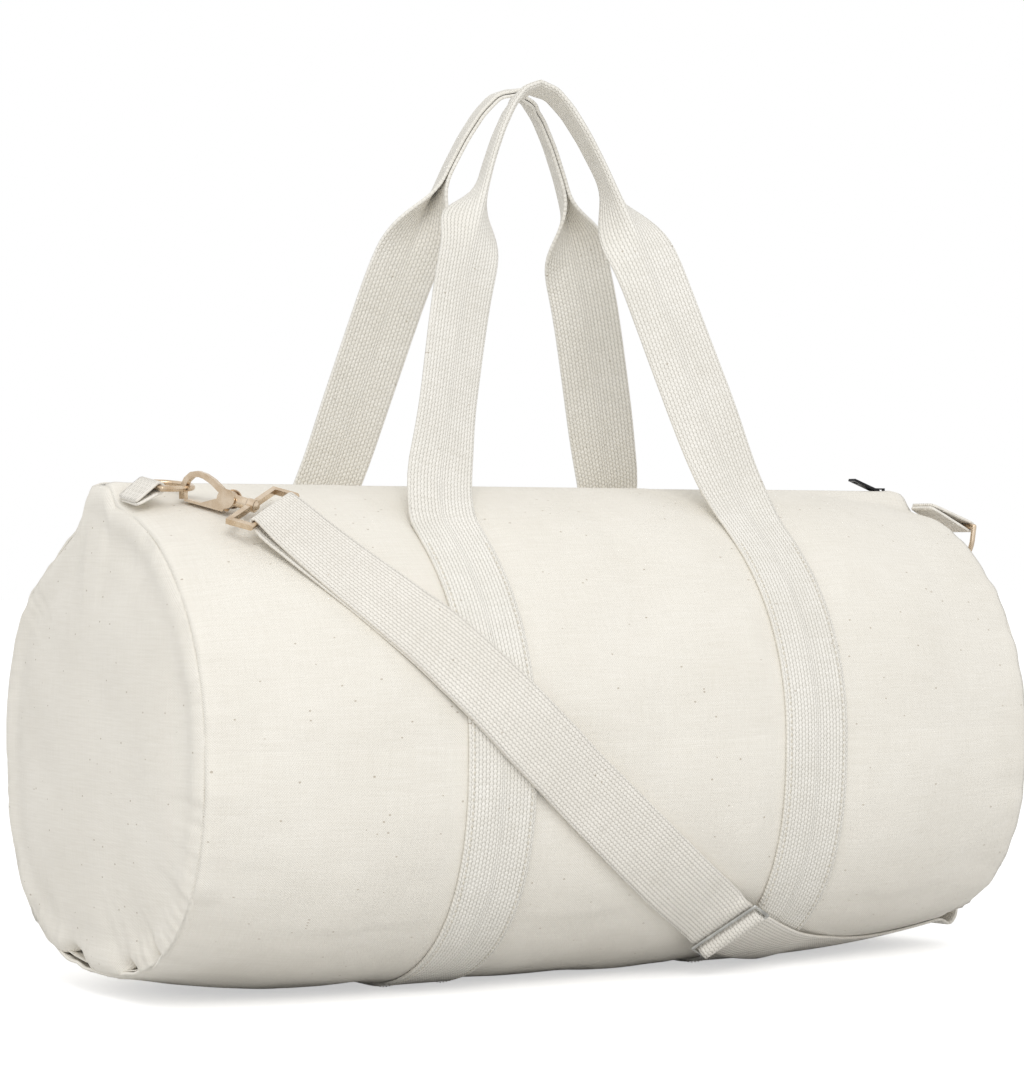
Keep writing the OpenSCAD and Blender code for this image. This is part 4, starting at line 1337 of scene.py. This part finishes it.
@dataclass
class Webbing:
    """Band and handle of one face in one length: under the bag, over the grip and down again."""

    form: BodyForm
    bands: Bands
    # -1 at the front, 1 at the rear
    face: int
    # Room between layers that are sewn to each other
    gap: float = 0.3
    # Where the handle leaves the bag, how high it reaches, and the grips' distance from the middle
    hinge_deg: float = 62.0
    handle_top: float = 490.0
    grip_y: float = 23.0
    # Half of the fold's width, and half of the angle left between the folded halves
    spine: float = 0.4
    closed_deg: float = 0.5
    # Segments along the handle, along a band and across half the webbing
    rings: int = 64
    band_steps: int = 40
    columns: int = 8
    # The turns at which a band begins under the bag and ends below the hinge, and at which its
    # stitches do
    band_turns: tuple[float, float] = (-90, 58)
    sewn_turns: tuple[float, float] = (-88, 50)
    # The handle's outline: share of its height, and share of its half span there
    outline: tuple[tuple[float, float], ...] = (
        (0, 1), (0.065, 0.945), (0.135, 0.889), (0.228, 0.822), (0.328, 0.747), (0.42, 0.68),
        (0.522, 0.606), (0.681, 0.475), (0.81, 0.354), (0.885, 0.27), (0.945, 0.185),
        (0.985, 0.1), (1, 0))
    # By (left, right) at the front, then at the rear: turn of the leg and of its grip in degrees,
    # and the leg's step along the bag
    leg_turns: ByLeg = ((-18, 16), (4, 14))
    grip_turns: ByLeg = ((15, 21), (23, 15))
    leg_steps: ByLeg = ((-6, 0), (-2, 6))
    # Length of the foot, over which a leg leaves the hinge's straight line
    foot_l: float = 12.0
    # How far the edges of the flat legs curl, from which share of the height and over which
    curl: float = 0.8
    curl_from: float = 0.05
    curl_over: float = 0.1
    # How far the fold's own middle stands out
    ridge: float = 0.5
    # The band comes off the canvas by this much, over these degrees below the hinge
    band_off: float = 1.6
    off_from: float = 48.0
    off_over: float = 12.0
    # Share of the handle to either side from which its direction is taken
    beside: float = 0.012
    # Shares of the height by which a leg is turned and has made its step
    turned_by: float = 0.25
    stepped_by: float = 0.54
    # Shares of the height between which the webbing folds in half for the grip
    fold_from: float = 0.58
    fold_to: float = 0.78
    # Stitches along the bands: from the edge, from one to the next, length and width
    stitch_in: float = 2.6
    stitch_step: float = 3.4
    stitch_l: float = 2.5
    stitch_w: float = 0.9

    @property
    def name(self) -> str:
        """The face's name."""
        return "front" if self.face < 0 else "rear"

    @property
    def hinge(self) -> Vector:
        """Middle of the line at which the handle leaves the bag."""
        y, z = spoke(self.form.body_r + 2 * self.gap + 1.5 * self.bands.thickness, self.hinge_deg)
        return Vector((0, self.face * y, self.form.axis_z + z))

    @property
    def lean(self) -> Vector:
        """Way from the hinge to the grip."""
        h = self.hinge
        return Vector((0, -self.face * (abs(h.y) - self.grip_y), self.handle_top - h.z))

    def round_to(self, turn: float) -> float:
        """Angle round the bag at a turn up from the widest line of this face."""
        return turn if self.face < 0 else -180 - turn

    def halves(self) -> list[tuple[int, float]]:
        """Lists the points across the webbing.

        Returns:
            The side of the middle that each is on, and its share of the way out to the edge.
        """
        shares = [(j, max(0.0, (abs(j) - 0.5) / (self.columns - 0.5)))
                  for j in range(-self.columns, self.columns + 1)]
        return [((j > 0) - (j < 0), k) for j, k in shares]

    def by_leg(self, table: ByLeg, u: float) -> float:
        """Value from a table of legs, u from -1 in the left foot to 1 in the right foot."""
        row = table[1 if self.face > 0 else 0]
        return mix(row[0], row[1], (u + 1) / 2)

    def crown(self, t: float) -> tuple[float, float]:
        """Finds a point of the handle's middle line.

        Args:
            t: the share along the handle.

        Returns:
            The point's x and its distance up the handle's plane.
        """
        u = 2 * t - 1
        v = 1 - u * u
        x = math.copysign(1, u) * self.bands.half_apart * read_table(self.outline, v)
        x += self.bands.shift * (1 - v) + self.by_leg(self.leg_steps, u) * ease(v / self.stepped_by)
        return x, v * self.lean.length

    def handle_row(self, t: float) -> Row:
        """Lays one station of the handle, flat at the legs and folded in half at the grip.

        Args:
            t: the share along the handle.

        Returns:
            Middle points across the webbing.
        """
        x, y = self.crown(t)
        x1, y1 = self.crown(min(1, t + self.beside))
        x0, y0 = self.crown(max(0, t - self.beside))
        up = self.lean.normalized()
        v = y / self.lean.length
        folded = ease((v - self.fold_from) / (self.fold_to - self.fold_from))
        leg_turn = self.by_leg(self.leg_turns, 2 * t - 1) * ease(v / self.turned_by)
        turn = mix(leg_turn, self.by_leg(self.grip_turns, 2 * t - 1), folded)
        aside = Vector(((x1 - x0) * ease(y / self.foot_l), 0, 0))
        way = (aside + up * (y1 - y0)).normalized()
        c, s = spoke(self.face * self.lean.z, turn)
        wide = way.cross(Vector((-s, -c, -abs(self.lean.y)))).normalized()
        inward = wide.cross(way)
        middle = Vector((x, 0, 0)) + self.hinge + up * y
        c, s = spoke(1, mix(90, self.closed_deg, folded))
        push = self.spine + c * (self.bands.thickness / 2 - self.spine)
        half_w = self.bands.width / 2 - self.spine
        row = []
        for side, k in self.halves():
            p = middle + wide * (side * push) + (wide * (side * s) + inward * c) * (k * half_w)
            curl = self.curl * s * (k**2) * ease((v - self.curl_from) / self.curl_over)
            row.append(p - inward * (0.0 if side else self.ridge * c) + inward * curl)
        return row

    def band_row(self, x: float, turn: float, wide: int) -> Row:
        """Lays one station of a band on the bag.

        Args:
            x: the band's middle.
            turn: how far up from the widest line of this face, in degrees.
            wide: 1 where the points run towards the bag's right end, or -1.

        Returns:
            Middle points across the webbing.
        """
        off = self.gap + self.bands.thickness / 2
        off += self.band_off * ease((turn - self.off_from) / self.off_over)
        p = self.form.side(0, self.round_to(turn), off)
        half = wide * self.bands.width / 2
        return [Vector((x + side * k * half, p.y, p.z)) for side, k in self.halves()]

    def rows(self) -> list[Row]:
        """Lays the webbing from under its left leg to under its right leg.

        Returns:
            Middle points across the webbing at each station.
        """
        left, right = self.bands.legs
        turns = [mix(*self.band_turns, i / self.band_steps) for i in range(self.band_steps + 1)]
        rows = [self.band_row(left, turn, self.face) for turn in turns]
        rows += [self.handle_row(i / self.rings) for i in range(1, self.rings)]
        return rows + [self.band_row(right, turn, -self.face) for turn in turns[::-1]]

    def build(self, mats: Mats) -> None:
        """Makes the webbing and sews it down.

        Args:
            mats: the materials by finish.
        """
        rows = self.rows()
        middle = [row[self.columns] for row in rows]
        piece = finish_mesh(f"{self.name}_webbing", ribbon(rows, middle, self.bands.width),
                            mats["webbing"])
        thicken(piece, self.bands.thickness * 0.92, 1)
        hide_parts(f"{self.name}_handle", "left_belly_band", "right_belly_band")
        root = self.form.side(0, self.round_to(56), 3)
        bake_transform(piece)
        self.sew_down(mats)

    def sew_down(self, mats: Mats) -> None:
        """Sews both edges of the bands to the canvas.

        Args:
            mats: the materials by finish.
        """
        bm = bmesh.new()
        bm.loops.layers.uv.new("cloth")
        # The stitches lie 0.05 mm clear of the webbing
        on_top = self.gap + self.bands.thickness + 0.05
        angles = [self.round_to(mix(*self.sewn_turns, i / 60)) for i in range(61)]
        outs = [self.form.out(0, angle) for angle in angles]
        for x in self.bands.legs:
            for edge in (-1, 1):
                at = Vector((x + edge * (self.bands.width / 2 - self.stitch_in), 0, 0))
                line = [self.form.side(0, angle, on_top) + at for angle in angles]
                sew(bm, along_line(line, outs, self.stitch_step), self.stitch_l, self.stitch_w)
        piece = finish_mesh(f"{self.name}_band_stitches", bm, mats["thread"])
        ride(piece, "bag", "handle_webbing")


@dataclass
class Zip:
    """The black zip: two woven tapes and the two rows of the nylon coil."""

    tape_z: float = 263.35
    tape_half: float = 9.5
    tape_t: float = 0.55
    half_l: float = 256.2
    # Width of the closed coil's middle, of one row, its height, and a turn's thickness and step
    channel: float = 1.3
    tooth_w: float = 2.3
    tooth_h: float = 2.0
    tooth_t: float = 0.72
    pitch: float = 2.2
    # Tape without coil at each end, and how far inside its edges the tape is built
    bare: float = 3.0
    edge_in: float = 0.1
    # How high the tape's outer half waves, and how long the waves are along and across it
    wave: float = 0.12
    wave_l: float = 9.0
    wave_w: float = 6.0

    def build(self, mats: Mats) -> None:
        """Makes both halves.

        Args:
            mats: the materials by finish.
        """
        for face, name in ((-1, "front"), (1, "rear")):
            self.build_tape(face, name, mats)
            self.build_coil(face, name, mats)

    def build_tape(self, face: int, name: str, mats: Mats) -> None:
        """Makes one tape.

        Args:
            face: -1 at the front, 1 at the rear.
            name: the face's name.
            mats: the materials by finish.
        """
        near = self.channel / 2 + self.tooth_w

        def spot(u: float, w: float) -> Vector:
            """Finds a point of the tape, whose outer half waves a little.

            Args:
                u: the share along it.
                w: the share from the coil to its outer edge.

            Returns:
                The point.
            """
            x = mix(-self.half_l, self.half_l, u)
            y = face * mix(near + self.edge_in, self.tape_half - self.edge_in, w)
            place = Vector((x / self.wave_l, y / self.wave_w, 0))
            return Vector((x, y, self.tape_z + self.wave * noise.noise(place) * (w > 0.5)))

        tape = finish_mesh(f"zip_{name}_half_tape", bent_grid(160, 6, spot, (2 * self.half_l, 6.0)),
                           mats["tape"])
        thicken(tape, self.tape_t)
        ride(tape, "bag", "zip_tape", f"zip_tape_{name}")

    def build_coil(self, face: int, name: str, mats: Mats) -> None:
        """Makes one row of the coil's turns, half a step on from those of the other row.

        Args:
            face: -1 at the front, 1 at the rear.
            name: the face's name.
            mats: the materials by finish.
        """
        bm = bmesh.new()
        y = face * (self.channel / 2 + self.tooth_w / 2)
        size = Matrix.Diagonal((self.tooth_t / 2, self.tooth_w / 2, self.tooth_h / 2, 1))
        start = -self.half_l + self.bare + (self.pitch / 2 if face > 0 else 0)
        for i in range(int((2 * self.half_l - 2 * self.bare) / self.pitch)):
            place = Matrix.Translation((start + i * self.pitch, y, self.tape_z))
            bmesh.ops.create_icosphere(bm, subdivisions=1, radius=1.0, matrix=place @ size)
        rail = finish_mesh(f"zip_{name}_half_coil", bm, mats["coil"])
        ride(rail, "bag", "zip_metal", f"zip_teeth_{name}")


@dataclass
class Tab:
    """Webbing tab folded round a D-ring's straight bar."""

    name: str
    # The bar's middle, where the tab is sewn in as seen from it, and its roll about x in degrees
    bar: Vector
    foot: tuple[float, float]
    roll: float = 0.0
    width: float = 21.0
    thickness: float = 1.6
    # Diameter of the ring's wire, the room round it, and the room between the sewn layers
    ring_d: float = 3.0
    gap: float = 0.3
    sewn_gap: float = 0.15
    length: float = 46.0
    # Angle of the bend's ends off the way to the foot
    open_deg: float = 85.0

    def build(self, mats: Mats) -> None:
        """Makes the tab.

        Args:
            mats: the materials by finish.
        """
        c, s = spoke(1, self.roll)
        flat = Flat(self.bar, Vector((1, 0, 0)), Vector((0, c, s)), Vector((0, -s, c)))
        r = self.ring_d / 2 + self.gap + self.thickness / 2
        foot = Vector(self.foot)
        lean = math.degrees(math.atan2(foot.y, foot.x))
        unit = foot.normalized()
        step = Vector((-unit.y, unit.x)) * (self.thickness + self.sewn_gap) / 2
        upper, lower = foot + step, foot - step
        turns = [mix(lean + self.open_deg, lean + 360 - self.open_deg, i / 14) for i in range(15)]
        bend = [Vector(spoke(r, turn)) for turn in turns]
        path = [upper, mix(upper, bend[0], 0.35), mix(upper, bend[0], 0.7)] + bend
        path += [mix(bend[-1], lower, 0.3), mix(bend[-1], lower, 0.65), lower]
        count = len(path) - 1

        def spot(u: float, w: float) -> Vector:
            """Point of the tab."""
            p = path[round(w * count)]
            return flat.at(p.x, (u - 0.5) * self.width, p.y)

        bm = bent_grid(6, count, spot, (self.width, self.length))
        piece = finish_mesh(f"{self.name}_loop", bm, mats["strap"])
        thicken(piece, self.thickness * 0.9, 1)
        ride(piece, "bag", "strap_webbing", self.name)


class Hardware:
    """Metal that keeps its CAD shape and gets its plating."""

    PLATED = ("ring", "hook", "gate", "gate_rivet", "swivel_rivet", "strap_loop")
    LACQUERED = ("zip_slider", "zip_pull", "zip_top_stop", "zip_bottom_stop")

    @classmethod
    def dress(cls, nodes: dict[str, bpy.types.Object], mats: Mats) -> None:
        """Gives each metal node its material.

        Args:
            nodes: the frame's nodes by name.
            mats: the materials by finish.
        """
        plan = {f"{side}_{part}": "hook" for side in ("left", "right") for part in cls.PLATED}
        plan |= {f"{side}_gate_spring": "spring" for side in ("left", "right")}
        plan |= {"strap_slider": "buckle"} | {name: "lacquer" for name in cls.LACQUERED}
        for name, key in plan.items():
            slots = nodes[name].data.materials
            if not slots:
                slots.append(mats[key])
            for i in range(len(slots)):
                slots[i] = mats[key]
            log.info("%s: %s", name, mats[key].name)


@dataclass(frozen=True)
class Studio:
    """White studio: camera, one soft lamp, a pale world and the floor."""

    # The photograph's camera, fitted to the bag: degrees, millimetres and pixels
    azimuth: float = 31.46
    elevation: float = -0.17
    distance: float = 1817.0
    target: tuple[float, float, float] = (-8.1, 0.0, 237.6)
    focal_px: float = 3260.9
    width_px: int = 1024
    sensor: float = 36.0
    # The lamp, in metres and watts
    key_at: tuple[float, float, float] = (-0.9, -1.7, 1.6)
    key_aim: tuple[float, float, float] = (0, 0, 0.15)
    key_power: float = 17.0
    key_size: float = 1.1
    # The world's light on the bag, where the camera sees plain white
    world_light: float = 0.82
    # The floor's own grey, and the glow that lifts it to white for the camera
    floor_tone: float = 0.8
    floor_glow: float = 0.52

    def camera(self) -> None:
        """Puts the camera where the photograph was taken from."""
        a, e = math.radians(self.azimuth), math.radians(self.elevation)
        ahead = Vector((math.sin(a) * math.cos(e), math.cos(a) * math.cos(e), -math.sin(e)))
        right = Vector((math.cos(a), -math.sin(a), 0))
        up = right.cross(ahead)
        data = bpy.data.cameras.new("camera")
        data.sensor_fit = "HORIZONTAL"
        data.sensor_width = self.sensor
        data.lens = self.focal_px / self.width_px * self.sensor
        data.clip_end = 30
        cam = bpy.data.objects.new("camera", data)
        turn = Matrix((right, up, -ahead)).transposed().to_4x4()
        place = (Vector(self.target) - ahead * self.distance) * MM
        cam.matrix_world = Matrix.Translation(place) @ turn
        bpy.context.scene.collection.objects.link(cam)
        bpy.context.scene.camera = cam

    def light(self) -> None:
        """Sets the lamp, and a world that the camera and the metal see as plain white."""
        data = bpy.data.lights.new("key", "AREA")
        data.energy, data.size = self.key_power, self.key_size
        lamp = bpy.data.objects.new("key", data)
        way = Vector(self.key_aim) - Vector(self.key_at)
        turn = way.to_track_quat("-Z", "Y").to_matrix().to_4x4()
        lamp.matrix_world = Matrix.Translation(self.key_at) @ turn
        bpy.context.scene.collection.objects.link(lamp)

        world = bpy.data.worlds.new("studio")
        bpy.context.scene.world = world
        world.use_nodes = True
        tree = world.node_tree
        tree.nodes.clear()
        path = add(tree, "ShaderNodeLightPath").outputs
        mirrored = add(tree, MATH, {"operation": "MAXIMUM"}, path["Is Glossy Ray"],
                       path["Is Transmission Ray"])
        seen = add(tree, MATH, {"operation": "MAXIMUM"}, path["Is Camera Ray"], mirrored)
        dim = add(tree, "ShaderNodeBackground", Color=(1, 1, 1, 1), Strength=self.world_light)
        white = add(tree, "ShaderNodeBackground", Color=(1, 1, 1, 1), Strength=1.0)
        mixed = add(tree, "ShaderNodeMixShader", None, seen, dim, white)
        add(tree, "ShaderNodeOutputWorld", Surface=mixed)

    def floor(self) -> None:
        """Lays the white floor, which keeps the bag's shadow."""
        bm = bmesh.new()
        bmesh.ops.create_grid(bm, x_segments=2, y_segments=2, size=12000)
        mat, tree = new_material("white_floor")
        seen = add(tree, "ShaderNodeLightPath").outputs["Is Camera Ray"]
        matte = add(tree, "ShaderNodeBsdfDiffuse", Color=(*[self.floor_tone] * 3, 1))
        glow = add(tree, "ShaderNodeEmission", Color=(1, 1, 1, 1), Strength=self.floor_glow)
        bright = add(tree, "ShaderNodeAddShader", None, matte, glow)
        mixed = add(tree, "ShaderNodeMixShader", None, seen, matte, bright)
        add(tree, "ShaderNodeOutputMaterial", Surface=mixed)
        finish_mesh("floor", bm, mat, False)


def main() -> None:
    """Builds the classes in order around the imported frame."""
    logging.basicConfig(level=logging.INFO, format="%(message)s")
    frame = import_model()
    bpy.context.scene.view_settings.view_transform = "Standard"
    studio = Studio()
    studio.camera()
    studio.light()
    studio.floor()
    finishes = {
        "canvas": CANVAS, "webbing": WEBBING, "strap": STRAP_WEBBING, "thread": THREAD,
        "tape": ZIP_TAPE, "coil": ZIP_COIL, "lacquer": ZIP_METAL, "hook": HOOK_METAL,
        "buckle": BUCKLE_METAL, "spring": SPRING_METAL}
    mats = {key: finish.build() for key, finish in finishes.items()}
    form = BodyForm()
    bands = Bands()
    strap = Strap(form, bands)
    Shell(form, bands, strap).build(mats)
    strap.build(mats)
    Webbing(form, bands, -1).build(mats)
    Webbing(form, bands, 1).build(mats)
    Zip().build(mats)
    Tab("left_tab", Vector((-243.945, -31.5, 264.584)), (-12.3047, -8.20618), 8).build(mats)
    Tab("right_tab", Vector((284.803, -31.5, 245.304)), (-28.5535, 12.1544)).build(mats)
    Hardware.dress(frame["nodes"], mats)


if __name__ == "__main__":
    main()
